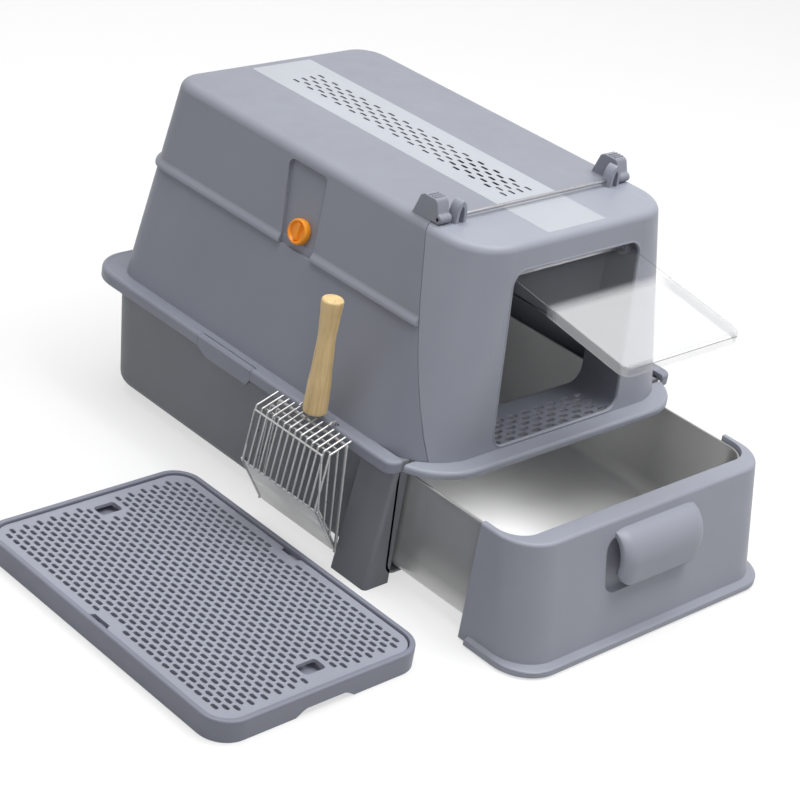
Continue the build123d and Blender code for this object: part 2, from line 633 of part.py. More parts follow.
def make_clip(sign):
    """Snap clip that swings down over the rim's edge."""
    half = CLIP_L / 2
    y_low, y_high = CLIP_MIDDLE_Y - half, CLIP_MIDDLE_Y + half
    outer, inner = RIM_HALF_W, RIM_HALF_W - CLIP_T
    pin_x = RIM_HALF_W - RIM_SKIRT - CLIP_NOTCH + SEAT_GAP + RIM_PLATE / 2
    lug_x = TUB_TOP_HALF_W + TUB_RIM_OUT + SEAT_GAP
    under = DECK_Z - RIM_PLATE
    points = [(inner, CLIP_LOW_Z), (outer, CLIP_LOW_Z + 2), (outer, under + RIM_PLATE / 2),
              (outer - RIM_PLATE / 2, DECK_Z), (pin_x, DECK_Z), (pin_x, under), (inner, under),
              (inner, CLIP_LUG_Z), (lug_x, CLIP_LUG_Z), (lug_x, CLIP_LUG_Z - CLIP_T),
              (inner, CLIP_LUG_Z - 2 * CLIP_T)]
    clip = front_prism([(sign * x, z) for x, z in points], y_low, y_high)
    clip &= side_prism([(y_low, FAR), (y_low, RIM_SKIRT_Z), (y_low + CLIP_SLANT[0], CLIP_LOW_Z),
                        (y_high - CLIP_SLANT[1], CLIP_LOW_Z), (y_high, RIM_SKIRT_Z), (y_high, FAR)],
                       -FAR, FAR)
    pin_z = DECK_Z - RIM_PLATE / 2
    clip += rod((sign * pin_x, y_low, pin_z), (sign * pin_x, y_high, pin_z), RIM_PLATE / 2)
    return clip + clip_pin(sign, CLIP_PIN_REACH)


# ------------------------------------------------------------------ base
def tub_section(z, inset=0.0):
    share = (z - TUB_LOW_Z) / (RIM_SKIRT_Z - TUB_LOW_Z)
    half = between(TUB_LOW_HALF_W, TUB_TOP_HALF_W, share) - inset
    back = between(TUB_LOW_BACK, TUB_TOP_BACK, share) - inset
    return plate(half, TUB_FRONT, back, 0, TUB_CORNER_R - inset, z)


def make_base_tub():
    """Open-fronted tub on which the enclosure sits and in which the drawer runs."""
    outer = loft([tub_section(TUB_LOW_Z), tub_section(TUB_TOP_Z)], ruled=True)
    low_edges = outer.edges().group_by(Axis.Z)[0].filter_by(
        lambda edge: edge.center().Y > TUB_FRONT + 1)
    outer = fillet(low_edges, TUB_LOW_EDGE_R)
    inner = loft([tub_section(TUB_LOW_Z + WALL, WALL), tub_section(TUB_TOP_Z + WALL, WALL)], ruled=True)
    inner_edges = inner.edges().group_by(Axis.Z)[0].filter_by(
        lambda edge: edge.center().Y > TUB_FRONT + 1)
    inner = fillet(inner_edges, TUB_LOW_EDGE_R - WALL)
    tub = outer - inner
    tub += tub_rim()
    for sign in (-1, 1):
        tub += front_post(sign)
        runner = block(sign * RUNNER_X - RUNNER_W / 2, sign * RUNNER_X + RUNNER_W / 2, TUB_FRONT,
                       TUB_LOW_BACK - TUB_CORNER_R, TUB_LOW_Z + WALL / 2, TUB_LOW_Z + WALL + RUNNER_H)
        tub += runner
    return tub


def tub_rim():
    top = plate(TUB_TOP_HALF_W + TUB_RIM_OUT, TUB_FRONT, TUB_TOP_BACK + TUB_RIM_OUT, 0,
                TUB_CORNER_R, TUB_TOP_Z - WALL)
    rim = extrude(top, amount=WALL)
    return rim - extrude(tub_section(TUB_TOP_Z - WALL, WALL / 2), amount=2 * WALL)


def front_post(sign):
    """Box-section post at a front corner, flaring out to a foot on the floor."""
    back = TUB_FRONT + POST_DEPTH

    def slab(half_w, z):
        x_low, x_high = sorted((sign * POST_INNER_X, sign * half_w))
        face = Pos((x_low + x_high) / 2, (TUB_FRONT + back) / 2) * Rectangle(x_high - x_low, POST_DEPTH)
        outer = face.vertices().sort_by(lambda corner: -sign * corner.X + 0.001 * corner.Y)[0]
        return Pos(0, 0, z) * fillet(outer, POST_CORNER_R)

    top = TUB_TOP_Z
    share = (top - TUB_LOW_Z) / (RIM_SKIRT_Z - TUB_LOW_Z)
    top_half = between(TUB_LOW_HALF_W, TUB_TOP_HALF_W, share)
    return loft([slab(POST_FOOT_HALF_W, 0), slab(top_half + SEAT_GAP, top)], ruled=True)


def make_feet():
    """Five rubber pads under the tub; the middle one carries the origin."""
    places = [(x, y) for x in (-FOOT_X, FOOT_X) for y in (-FOOT_Y, FOOT_Y)] + [(0, 0)]
    return [Pos(x, y, 0) * Cylinder(FOOT_R, TUB_LOW_Z, align=BASE) for x, y in places]


# ------------------------------------------------------------------ drawer
def make_pan():
    """Deep steel pan with a rolled top edge."""
    low = TUB_LOW_Z + WALL + RUNNER_H + SEAT_GAP
    outer = extrude(plate(PAN_HALF_W, PAN_FRONT_Y, PAN_BACK_Y, PAN_CORNER_R, PAN_CORNER_R, low),
                    amount=PAN_TOP_Z - low)
    outer = fillet(outer.edges().group_by(Axis.Z)[0], PAN_LOW_EDGE_R)
    inner = extrude(plate(PAN_HALF_W - PAN_T, PAN_FRONT_Y + PAN_T, PAN_BACK_Y - PAN_T,
                          PAN_CORNER_R - PAN_T, PAN_CORNER_R - PAN_T, low + PAN_T), amount=PAN_TOP_Z)
    inner = fillet(inner.edges().group_by(Axis.Z)[0], PAN_LOW_EDGE_R - PAN_T)
    roll = extrude(plate(PAN_HALF_W + PAN_ROLL_R, PAN_FRONT_Y, PAN_BACK_Y + PAN_ROLL_R, PAN_CORNER_R,
                         PAN_CORNER_R + PAN_ROLL_R, PAN_TOP_Z - 2 * PAN_ROLL_R), amount=2 * PAN_ROLL_R)
    return outer + roll - inner


def face_y(z):
    """Front of the drawer's face at a height."""
    return between(FACE_LOW_Y, FACE_TOP_Y, (z - FACE_LOW_Z) / (FACE_TOP_Z - FACE_LOW_Z))


def face_body(inset):
    """Block of the drawer's face, wings and all, drawn in by inset."""
    corner = FACE_CORNER_R - inset
    low = plate(FACE_HALF_W - inset, FACE_LOW_Y + inset, FACE_WING_BACK_Y, corner, 0, FACE_LOW_Z - inset)
    top = plate(FACE_HALF_W - inset, FACE_TOP_Y + inset, FACE_WING_BACK_Y, corner, 0, FACE_TOP_Z - inset)
    return loft([low, top], ruled=True)


def skirt_plate(half_w, front, z, inset):
    """Outline of the foot band at a height."""
    return plate(half_w - inset, front + inset, SKIRT_BACK_Y, FACE_CORNER_R - inset, 0, z - inset)


def skirt_body(inset):
    """Foot band with a straight edge below and a slope up to the face."""
    band = skirt_plate(SKIRT_HALF_W, SKIRT_FRONT_Y, FACE_LOW_Z, inset)
    edge = skirt_plate(SKIRT_HALF_W, SKIRT_FRONT_Y, SKIRT_EDGE_H, inset)
    face = skirt_plate(FACE_HALF_W, face_y(SKIRT_TOP_Z), SKIRT_TOP_Z, inset)
    return extrude(band, amount=SKIRT_EDGE_H - FACE_LOW_Z) + loft([edge, face], ruled=True)


def make_drawer_front():
    """Hollow drawer face with wings, a flared foot and a hooded pull."""
    body = face_body(0)
    body = fillet(body.edges().group_by(Axis.Z)[-1].filter_by(
        lambda edge: edge.center().Y < FACE_WING_BACK_Y - 1), FACE_EDGE_R)
    inner_front = PAN_FRONT_Y - SEAT_GAP
    inside = extrude(plate(FACE_INNER_HALF_W, inner_front, FAR, PAN_CORNER_R, 0, -1), amount=FAR)
    cheek = plate(FACE_INNER_HALF_W + FACE_WALL, inner_front - FACE_WALL, FAR,
                  PAN_CORNER_R + FACE_WALL, 0, -1)
    hollow = face_body(FACE_WALL) + skirt_body(FACE_WALL)
    hollow &= block(-FAR, FAR, -FAR, SKIRT_BACK_Y - FACE_WALL, -FAR, FAR)
    hollow -= extrude(cheek, amount=FAR)
    foot_z, head_z = PULL_LOW_Z - PULL_RECESS_SIDE, PULL_TOP_Z - 2 * PULL_T
    foot_y, head_y = face_y(foot_z) + PULL_RECESS, face_y(head_z) + PULL_RECESS
    half_w = PULL_HALF_W + PULL_RECESS_SIDE
    recess = side_prism([(-FAR, foot_z), (foot_y, foot_z), (head_y, head_z), (-FAR, head_z)],
                        -half_w, half_w)
    lining = side_prism([(FACE_LOW_Y, foot_z - FACE_WALL), (foot_y + FACE_WALL, foot_z - FACE_WALL),
                         (head_y + FACE_WALL, head_z + FACE_WALL), (FACE_LOW_Y, head_z + FACE_WALL)],
                        -half_w - FACE_WALL, half_w + FACE_WALL)
    return body + skirt_body(0) - (hollow - lining) - inside - recess + drawer_pull()


def drawer_pull():
    """Curved grip that stands off the drawer's face, open below and at both ends."""
    face_top = face_y(PULL_TOP_Z)
    out = FACE_TOP_Y - PULL_OUT
    steps = 6
    outer = []
    for step in range(steps + 1):
        angle = math.radians(90 * step / steps)
        outer.append((face_top + (out - face_top) * math.sin(angle),
                      PULL_TOP_Z - PULL_DROP * (1 - math.cos(angle))))
    outer = [(face_top + FACE_WALL, PULL_TOP_Z)] + outer + [(out + PULL_T / 2, PULL_LOW_Z)]
    inner = [(out + 1.5 * PULL_T, PULL_LOW_Z)]
    for step in range(steps, 0, -2):
        angle = math.radians(90 * step / steps)
        inner.append((face_top + (out + PULL_T - face_top) * math.sin(angle),
                      PULL_TOP_Z - PULL_T - (PULL_DROP - PULL_T) * (1 - math.cos(angle))))
    inner.append((face_top + FACE_WALL, PULL_TOP_Z - PULL_T))
    grip = side_prism(outer + inner, -PULL_HALF_W, PULL_HALF_W)
    low = Pos(0, PULL_LOW_Z + FAR / 2) * Rectangle(2 * PULL_HALF_W, FAR)
    low = fillet(low.vertices().sort_by(Axis.Y)[:2], PULL_CORNER_R)
    upright = Plane(origin=(0, -2 * FAR, 0), x_dir=(1, 0, 0), z_dir=(0, -1, 0))
    return grip & extrude(upright * low, amount=3 * FAR, dir=(0, 1, 0))


# ------------------------------------------------------------------ scoop
def scoop_plane_x(z):
    """X of the slanted mouth plate at a height."""
    share = (z - SCOOP_LOW_Z) / (SCOOP_PLATE_Z - SCOOP_LOW_Z)
    return SCOOP_INNER_X - SCOOP_DEPTH * share


def square_wire(points, y, radius):
    """Bent wire of square section in a plane across Y."""
    path = Polyline(*[(x, z) for x, z in points])
    face = Plane.XZ * trace(path, 2 * radius)
    return Pos(0, y + radius, 0) * extrude(face, amount=2 * radius, dir=(0, -1, 0))


def make_scoop_cross_wires():
    """Wires over the closed end and down the sifting face."""
    outer_x = SCOOP_INNER_X - SCOOP_DEPTH
    path = [(SCOOP_INNER_X - FRAME_WIRE_R, SCOOP_TOP_Z), (outer_x, SCOOP_TOP_Z), (outer_x, SCOOP_PLATE_Z)]
    pitch = 2 * (SCOOP_HALF_W - 2 * FRAME_WIRE_R) / (SCOOP_WIRES - 1)
    first = SCOOP_MIDDLE_Y - SCOOP_HALF_W + 2 * FRAME_WIRE_R
    return [square_wire(path, first + number * pitch, WIRE_R) for number in range(SCOOP_WIRES)]


def make_scoop_long_wires():
    """Wires along the closed end, turned down the two sides to the mouth plate."""
    half = SCOOP_HALF_W - FRAME_WIRE_R + WIRE_R
    low_y, high_y = SCOOP_MIDDLE_Y - half, SCOOP_MIDDLE_Y + half
    wires = []
    top = SCOOP_TOP_Z - 2 * WIRE_R
    for number in range(1, SCOOP_LONG_WIRES + 1):
        x = SCOOP_INNER_X - (SCOOP_DEPTH - 2 * WIRE_R) * number / SCOOP_LONG_WIRES
        end = between(SCOOP_LOW_Z, SCOOP_PLATE_Z, (SCOOP_INNER_X - x) / SCOOP_DEPTH)
        path = Polyline((low_y, end), (low_y, top), (high_y, top), (high_y, end))
        face = Plane.YZ * trace(path, 2 * WIRE_R)
        wires.append(Pos(x - WIRE_R, 0, 0) * extrude(face, amount=2 * WIRE_R, dir=(1, 0, 0)))
    return wires


def make_scoop_frame():
    """Heavy wire round the scoop's open side."""
    low_y, high_y = SCOOP_MIDDLE_Y - SCOOP_HALF_W, SCOOP_MIDDLE_Y + SCOOP_HALF_W
    path = FilletPolyline((low_y, SCOOP_LOW_Z), (low_y, SCOOP_TOP_Z), (high_y, SCOOP_TOP_Z),
                          (high_y, SCOOP_LOW_Z), radius=3 * FRAME_WIRE_R)
    wire = Plane(origin=(SCOOP_INNER_X, 0, 0), x_dir=(0, 1, 0), z_dir=(1, 0, 0)) * path
    start = wire.edges()[0]
    return sweep(Plane(origin=start @ 0, z_dir=start % 0) * Circle(FRAME_WIRE_R), path=wire)


def make_scoop_plate():
    """Sheet-steel mouth along the scoop's lower edge."""
    normal_out = SCOOP_PLATE_T
    points = [(SCOOP_INNER_X, SCOOP_LOW_Z), (scoop_plane_x(SCOOP_PLATE_Z), SCOOP_PLATE_Z),
              (scoop_plane_x(SCOOP_PLATE_Z) - normal_out, SCOOP_PLATE_Z),
              (SCOOP_INNER_X - normal_out, SCOOP_LOW_Z)]
    inset = FRAME_WIRE_R
    return front_prism(points, SCOOP_MIDDLE_Y - SCOOP_HALF_W + inset, SCOOP_MIDDLE_Y + SCOOP_HALF_W - inset)


def make_scoop_hooks():
    """Two wire hooks beside the handle that hang the scoop on the rim."""
    hooks = []
    top = DECK_Z + 3 * FRAME_WIRE_R
    for side in (-1, 1):
        y = SCOOP_MIDDLE_Y + side * HOOK_OFFSET
        path = [(SCOOP_INNER_X, SCOOP_TOP_Z + FRAME_WIRE_R), (SCOOP_INNER_X, top),
                (SCOOP_INNER_X + HOOK_REACH, top), (SCOOP_INNER_X + HOOK_REACH, HOOK_LOW_Z)]
        hooks.append(square_wire(path, y, FRAME_WIRE_R * 0.8))
    return hooks


def make_scoop_handle():
    """Turned bamboo grip."""
    neck_z = between(GRIP_LOW_Z, GRIP_TOP_Z, GRIP_NECK_SHARE)
    waist_z = between(GRIP_LOW_Z, GRIP_TOP_Z, GRIP_WAIST_SHARE)
    start, end = (GRIP_BASE_R, GRIP_LOW_Z + GRIP_END_H), (GRIP_TOP_R, GRIP_TOP_Z - GRIP_TOP_EDGE)
    profile = Polyline((0, GRIP_LOW_Z), (GRIP_END_R, GRIP_LOW_Z), start)
    side = Spline(start, (GRIP_NECK_R, neck_z), (GRIP_WAIST_R, waist_z), end)
    top = Polyline(end, (GRIP_TOP_R - GRIP_TOP_EDGE, GRIP_TOP_Z), (0, GRIP_TOP_Z), (0, GRIP_LOW_Z))
    face = Plane.XZ * make_face([profile.edges(), side.edges(), top.edges()])
    return Pos(SCOOP_INNER_X, SCOOP_MIDDLE_Y, 0) * revolve(face, Axis.Z)


def make_scoop_tang():
    """Steel neck between the scoop's top bar and the grip."""
    x, y = SCOOP_INNER_X, SCOOP_MIDDLE_Y
    return rod((x, y, SCOOP_TOP_Z + FRAME_WIRE_R), (x, y, GRIP_LOW_Z), 2 * FRAME_WIRE_R)


# ------------------------------------------------------------------ tray
def tray_plate(inset, z):
    x, y = TRAY_MIDDLE
    half_l = TRAY_SIZE[1] / 2 - inset
    corner = TRAY_CORNER_R - inset
    return plate(TRAY_SIZE[0] / 2 - inset, y - half_l, y + half_l, corner, corner, z, x)


def make_tray():
    """Shallow tray with a raised floor and a hand recess under each end."""
    body = extrude(tray_plate(0, 0), amount=TRAY_H)
    body = fillet(body.edges().group_by(Axis.Z)[-1], TRAY_RIM / 3)
    body -= extrude(tray_plate(TRAY_RIM, TRAY_FLOOR_Z + TRAY_FLOOR_T), amount=TRAY_H)
    body -= extrude(tray_plate(TRAY_RIM / 2, 0), amount=TRAY_FLOOR_Z)
    x, y = TRAY_MIDDLE
    wide, narrow, high = TRAY_HAND
    hand = [(x - wide / 2, -1), (x + wide / 2, -1), (x + narrow / 2, high), (x - narrow / 2, high)]
    body -= front_prism(hand, y - TRAY_SIZE[1], y + TRAY_SIZE[1])
    ledge_z = GRATE_TOP_Z - GRATE_T - SEAT_GAP
    for side in (-1, 1):
        for step in (-1, 0, 1):
            at_y = y + step * TRAY_SIZE[1] / 3
            inner = x + side * (TRAY_SIZE[0] / 2 - TRAY_RIM)
            x_low, x_high = sorted((inner + side, inner - side * TRAY_RIM))
            body += block(x_low, x_high, at_y - TRAY_RIM, at_y + TRAY_RIM,
                          TRAY_FLOOR_Z + TRAY_FLOOR_T / 2, ledge_z)
    return body


def make_grate():
    """Slotted plate that lies on the tray's ledges, with two finger holes."""
    low = GRATE_TOP_Z - GRATE_T
    inset = TRAY_RIM + GRATE_INSET
    body = extrude(tray_plate(inset, low), amount=GRATE_T)
    x, y = TRAY_MIDDLE
    half_w = TRAY_SIZE[0] / 2 - inset - GRATE_MARGIN[0]
    half_l = TRAY_SIZE[1] / 2 - inset - GRATE_MARGIN[1]
    cuts = slots(GRATE_COLUMNS, GRATE_ROWS, GRATE_SLOT, x, 2 * half_w, y - half_l, y + half_l,
                 low - 1, GRATE_TOP_Z + 1)
    body -= cuts
    for side in (-1, 1):
        hole_y = y + GRATE_SHIFT[1] + side * (TRAY_SIZE[1] / 2 - GRATE_HOLE_INSET)
        hole_x = x + GRATE_SHIFT[0]
        half_x, half_y = GRATE_HOLE[0] / 2, GRATE_HOLE[1] / 2
        body -= block(hole_x - half_x, hole_x + half_x, hole_y - half_y, hole_y + half_y,
                      low - 1, GRATE_TOP_Z + 1)
        edge = x + side * (TRAY_SIZE[0] / 2 - inset)
        middle, half = y + GRATE_SHIFT[1], GRATE_NOTCH[0] / 2
        wide = half + GRATE_NOTCH_FLARE
        notch = Polyline((edge, middle - wide), (edge - side * GRATE_NOTCH[1], middle - half),
                         (edge - side * GRATE_NOTCH[1], middle + half), (edge, middle + wide), close=True)
        body -= Pos(0, 0, low - 1) * extrude(make_face(notch), amount=2 * GRATE_T, dir=(0, 0, 1))
    return body


# ------------------------------------------------------------------ write every node
save("base_tub", make_base_tub())
save("base_feet", *make_feet())
save("mid_shell", make_mid_shell())
save("front_frame", make_front_frame())
save("entry_sleeve", make_entry_sleeve())
save("lid_shell", make_lid())
save("roof_strip", make_roof_strip())
save("front_strip", make_front_strip())
save("hinge_rod", make_hinge_rod())
save("flap_door", make_flap())
save("flap_pin", make_flap_pin())
for side_name, side_sign in (("left", -1), ("right", 1)):
    save(f"lock_knob_{side_name}", make_knob(side_sign))
    save(f"lock_cam_{side_name}", make_cam(side_sign))
    save(f"side_clip_{side_name}", make_clip(side_sign))
save("drawer_pan", make_pan())
save("drawer_front", make_drawer_front())
save("scoop_cross_wires", *make_scoop_cross_wires())
save("scoop_long_wires", *make_scoop_long_wires())
save("scoop_frame", make_scoop_frame())
save("scoop_plate", make_scoop_plate())
save("scoop_hooks", *make_scoop_hooks())
save("scoop_handle", make_scoop_handle())
save("scoop_tang", make_scoop_tang())
save("tray_base", make_tray())
save("tray_grate", make_grate())
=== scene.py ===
import logging
import math
from dataclasses import dataclass, field
from enum import Enum
from typing import Callable, ClassVar, Iterable, Optional, Sequence, Union

import bmesh
import bpy
from mathutils import Matrix, Vector


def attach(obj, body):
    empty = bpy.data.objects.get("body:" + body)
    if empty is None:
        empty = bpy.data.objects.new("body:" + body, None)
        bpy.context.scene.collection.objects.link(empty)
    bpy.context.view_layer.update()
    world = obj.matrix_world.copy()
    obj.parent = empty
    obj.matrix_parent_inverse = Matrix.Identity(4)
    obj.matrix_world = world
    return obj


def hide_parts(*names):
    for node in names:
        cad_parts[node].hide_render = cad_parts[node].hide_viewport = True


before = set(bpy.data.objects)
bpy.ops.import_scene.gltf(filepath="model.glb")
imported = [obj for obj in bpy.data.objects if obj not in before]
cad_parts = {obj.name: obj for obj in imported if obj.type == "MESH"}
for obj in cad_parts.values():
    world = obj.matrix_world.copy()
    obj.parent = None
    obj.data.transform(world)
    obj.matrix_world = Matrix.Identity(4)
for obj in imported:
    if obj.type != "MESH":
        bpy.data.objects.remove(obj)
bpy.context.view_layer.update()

MM = 0.001                      # metres in a millimetre
SIGNS = (-1.0, 1.0)             # left and right
CRISP, SOFT, FULL, ROUND = 32.0, 40.0, 50.0, 60.0   # degrees past which an edge stays sharp
FLAT_ANGLE = 0.004              # radians under which two faces count as one flat face
CALM = (0.3, 0.7)               # the part of its range that a noise mostly stays in
Point = tuple[float, float, float]
Flat = tuple[float, float]
Four = tuple[float, float, float, float]
Color = tuple[float, float, float]
Socket = bpy.types.NodeSocket
Solid = bpy.types.Object
Finish = bpy.types.Material
log = logging.getLogger("litter_box")


# ---------------------------------------------------------------- shapes
class Cut(Enum):
    """What a carving tool does to the piece it meets."""

    AWAY = "DIFFERENCE"
    ONTO = "UNION"


class Along(Enum):
    """The axis that a prism runs along, as the order of the outline's two axes and its own."""

    X = (2, 0, 1)
    Y = (0, 2, 1)
    Z = (0, 1, 2)

    def place(self, first: float, second: float, own: float) -> Point:
        """Put an outline's point and its place along the prism in the order X, Y, Z."""
        return tuple((first, second, own)[key] for key in self.value)


def blend(low: float, high: float, share: float) -> float:
    """Return the value at a share of the way from low to high."""
    return low + (high - low) * share


def quarter(steps: int) -> list[Flat]:
    """Give (sine, cosine) pairs for equal parts of a quarter turn, from 0 to 90 degrees."""
    turns = [math.pi / 2 * step / steps for step in range(steps + 1)]
    return [(math.sin(turn), math.cos(turn)) for turn in turns]


def shoulder(radius: float, top: float, steps: int, inset: float = 0.0) -> list[Flat]:
    """Give (inset, height) pairs that round the edge of a wall up to its top."""
    return [(inset + radius - radius * cosine, top - radius + radius * sine)
            for sine, cosine in quarter(steps)]


def bowl(radius: float, low: float, steps: int, inset: float = 0.0) -> list[Flat]:
    """Give (inset, height) pairs that round the edge of a floor up to its wall."""
    return [(inset + radius - radius * sine, low + radius - radius * cosine)
            for sine, cosine in quarter(steps)]


def circle(sides: int) -> list[Flat]:
    """Give cosine and sine for equal steps of a whole turn."""
    turns = [2 * math.pi * number / sides for number in range(sides)]
    return [(math.cos(turn), math.sin(turn)) for turn in turns]


def outline(half_w: float, front: float, back: float, r_front: float, r_back: float,
            middle_x: float = 0.0, steps: int = 10, guard: float = 1.6) -> list[Flat]:
    """Trace a rounded rectangle counter-clockwise from its front right corner.

    Args:
        half_w: half of its width along X.
        front: its lower Y limit.
        back: its upper Y limit.
        r_front: corner radius at the front.
        r_back: corner radius at the back.
        middle_x: X of its middle.
        steps: parts in each corner's arc.
        guard: distance of the extra point that keeps each flat side flat.
    Returns:
        The points in order.
    """
    corners = [(half_w - r_front, front + r_front, r_front, -90),
               (half_w - r_back, back - r_back, r_back, 0),
               (r_back - half_w, back - r_back, r_back, 90),
               (r_front - half_w, front + r_front, r_front, 180)]
    points: list[Flat] = []
    for x, y, radius, start in corners:
        first, last = math.radians(start), math.radians(start + 90)
        points.append((middle_x + x + radius * math.cos(first) + guard * math.sin(first),
                       y + radius * math.sin(first) - guard * math.cos(first)))
        for step in range(steps + 1):
            turn = blend(first, last, step / steps)
            points.append((middle_x + x + radius * math.cos(turn), y + radius * math.sin(turn)))
        points.append((middle_x + x + radius * math.cos(last) - guard * math.sin(last),
                       y + radius * math.sin(last) + guard * math.cos(last)))
    return points


def at_height(points: Iterable[Flat], z: float) -> list[Point]:
    """Lift a flat outline to a height."""
    return [(x, y, z) for x, y in points]


def staggered(rows: int, columns: int) -> list[Flat]:
    """Give (row, column) pairs of a grid whose odd rows have one place less and stand half a column on."""
    return [(row, column + row % 2 / 2) for row in range(rows) for column in range(columns - row % 2)]


def round_path(points: Sequence[Point], radius: float, steps: int = 6) -> list[Point]:
    """Round the inner corners of a path.

    Args:
        points: the path's corners.
        radius: radius of each bend.
        steps: parts in each bend.
    Returns:
        The path with an arc at each inner corner.
    """
    path: list[Point] = [points[0]]
    for before, corner, after in zip(points, points[1:], points[2:]):
        here = Vector(corner)
        back = (Vector(before) - here).normalized()
        on = (Vector(after) - here).normalized()
        half = back.angle(on) / 2
        reach = radius / math.tan(half)
        centre = here + (back + on).normalized() * (radius / math.sin(half))
        start = here + back * reach - centre
        end = here + on * reach - centre
        for step in range(steps + 1):
            arm = start.slerp(end, step / steps) if start.angle(end) > 1e-4 else start
            path.append(tuple(centre + arm))
    path.append(points[-1])
    return path


class Form:
    """A closed mesh under construction, in millimetres."""

    def __init__(self) -> None:
        """Start with nothing."""
        self.bm = bmesh.new()

    def rings(self, rings: Sequence[Sequence[Point]], caps: bool = True, loop: bool = False) -> "Form":
        """Skin a row of rings that all have the same number of points.

        Args:
            rings: closed rings in order.
            caps: whether the first and last ring are closed by a face.
            loop: whether the last ring joins the first one.
        Returns:
            This form.
        """
        made = [[self.bm.verts.new(point) for point in ring] for ring in rings]
        pairs = list(zip(made, made[1:]))
        if loop:
            pairs.append((made[-1], made[0]))
        for low, high in pairs:
            for index, vertex in enumerate(low):
                after = (index + 1) % len(low)
                self.bm.faces.new((vertex, low[after], high[after], high[index]))
        if caps and not loop:
            self.bm.faces.new(list(reversed(made[0])))
            self.bm.faces.new(made[-1])
        return self

    def tube(self, path: Sequence[Point], radius: float, sides: int = 10) -> "Form":
        """Run a round bar along a path.

        Args:
            path: the bar's middle line.
            radius: the bar's radius.
            sides: faces around the bar.
        Returns:
            This form.
        """
        line = [Vector(point) for point in path]
        count = len(line)
        rings = []
        side: Optional[Vector] = None
        for index, here in enumerate(line):
            before = line[index - 1] if index else here
            after = line[index + 1] if index < count - 1 else here
            run = (after - before).normalized()
            if side is None:
                side = run.orthogonal().normalized()
            side = (side - run * side.dot(run)).normalized()
            other = run.cross(side)
            rings.append([tuple(here + (side * cosine + other * sine) * radius)
                          for cosine, sine in circle(sides)])
        return self.rings(rings)

    def turned(self, profile: Sequence[Flat], at: Matrix, sides: int = 40) -> "Form":
        """Turn a profile of (radius, height) points about the Z axis of a frame."""
        return self.rings([[tuple(at @ Vector((radius * cosine, radius * sine, height)))
                            for cosine, sine in circle(sides)] for radius, height in profile])

    def prism(self, points: Sequence[Flat], low: float, high: float,
              place: Callable[[float, float, float], Point] = Along.Z.place) -> "Form":
        """Make a prism on an outline, from low to high along the axis that place gives."""
        return self.rings([[place(a, b, low) for a, b in points], [place(a, b, high) for a, b in points]])

    def box(self, low: Point, high: Point) -> "Form":
        """Add a plain block between two corners."""
        corners = [(low[0], low[1]), (high[0], low[1]), (high[0], high[1]), (low[0], high[1])]
        return self.prism(corners, low[2], high[2])

    def trim(self, point: Point, normal: Point) -> "Form":
        """Cut away what lies on the side that the normal points to, and close the cut.

        Args:
            point: a point of the cutting plane.
            normal: the plane's normal.
        Returns:
            This form.
        """
        geometry = self.bm.verts[:] + self.bm.edges[:] + self.bm.faces[:]
        cut = bmesh.ops.bisect_plane(self.bm, geom=geometry, dist=1e-5, plane_co=point, plane_no=normal,
                                     clear_outer=True)
        edges = [item for item in cut["geom_cut"]
                 if isinstance(item, bmesh.types.BMEdge) and item.is_boundary]
        if edges:
            bmesh.ops.edgeloop_fill(self.bm, edges=edges)
        return self

    def add(self, other: "Form") -> "Form":
        """Take over the faces of another form.

        Args:
            other: the form, which is used up.
        Returns:
            This form.
        """
        spare = bpy.data.meshes.new("spare")
        other.bm.to_mesh(spare)
        other.bm.free()
        self.bm.from_mesh(spare)
        bpy.data.meshes.remove(spare)
        return self

    def piece(self, name: str, material: Finish, sharp: float = CRISP) -> Solid:
        """Finish the form as an object in metres.

        Args:
            name: the object's name.
            material: its finish.
            sharp: angle in degrees past which an edge stays crisp.
        Returns:
            The new object.
        """
        bmesh.ops.recalc_face_normals(self.bm, faces=self.bm.faces[:])
        bmesh.ops.scale(self.bm, vec=(MM, MM, MM), verts=self.bm.verts[:])
        mesh = bpy.data.meshes.new(name)
        self.bm.to_mesh(mesh)
        self.bm.free()
        mesh.materials.append(material)
        made = new_object(name, mesh)
        crisp(made, sharp)
        return made


def new_object(name: str, data: bpy.types.ID) -> Solid:
    """Link a new object into the scene.

    Args:
        name: its name.
        data: its mesh, lamp or camera.
    Returns:
        The object.
    """
    made = bpy.data.objects.new(name, data)
    bpy.context.scene.collection.objects.link(made)
    return made


def crisp(piece: Solid, sharp: float = CRISP) -> None:
    """Shade a piece smooth and keep its sharp edges.

    Args:
        piece: the object to shade.
        sharp: angle in degrees past which an edge stays crisp.
    """
    work = bmesh.new()
    work.from_mesh(piece.data)
    limit = math.radians(sharp)
    for edge in work.edges:
        edge.smooth = len(edge.link_faces) == 2 and edge.calc_face_angle(0.0) < limit
    for face in work.faces:
        face.smooth = any(edge.smooth and edge.calc_face_angle(0.0) > FLAT_ANGLE for edge in face.edges)
    work.to_mesh(piece.data)
    work.free()


def bake(piece: Solid) -> None:
    """Turn a piece and its modifiers into a plain mesh.

    Args:
        piece: the object.
    """
    bpy.context.view_layer.update()
    graph = bpy.context.evaluated_depsgraph_get()
    mesh = bpy.data.meshes.new_from_object(piece.evaluated_get(graph))
    piece.modifiers.clear()
    old = piece.data
    piece.data = mesh
    bpy.data.meshes.remove(old)


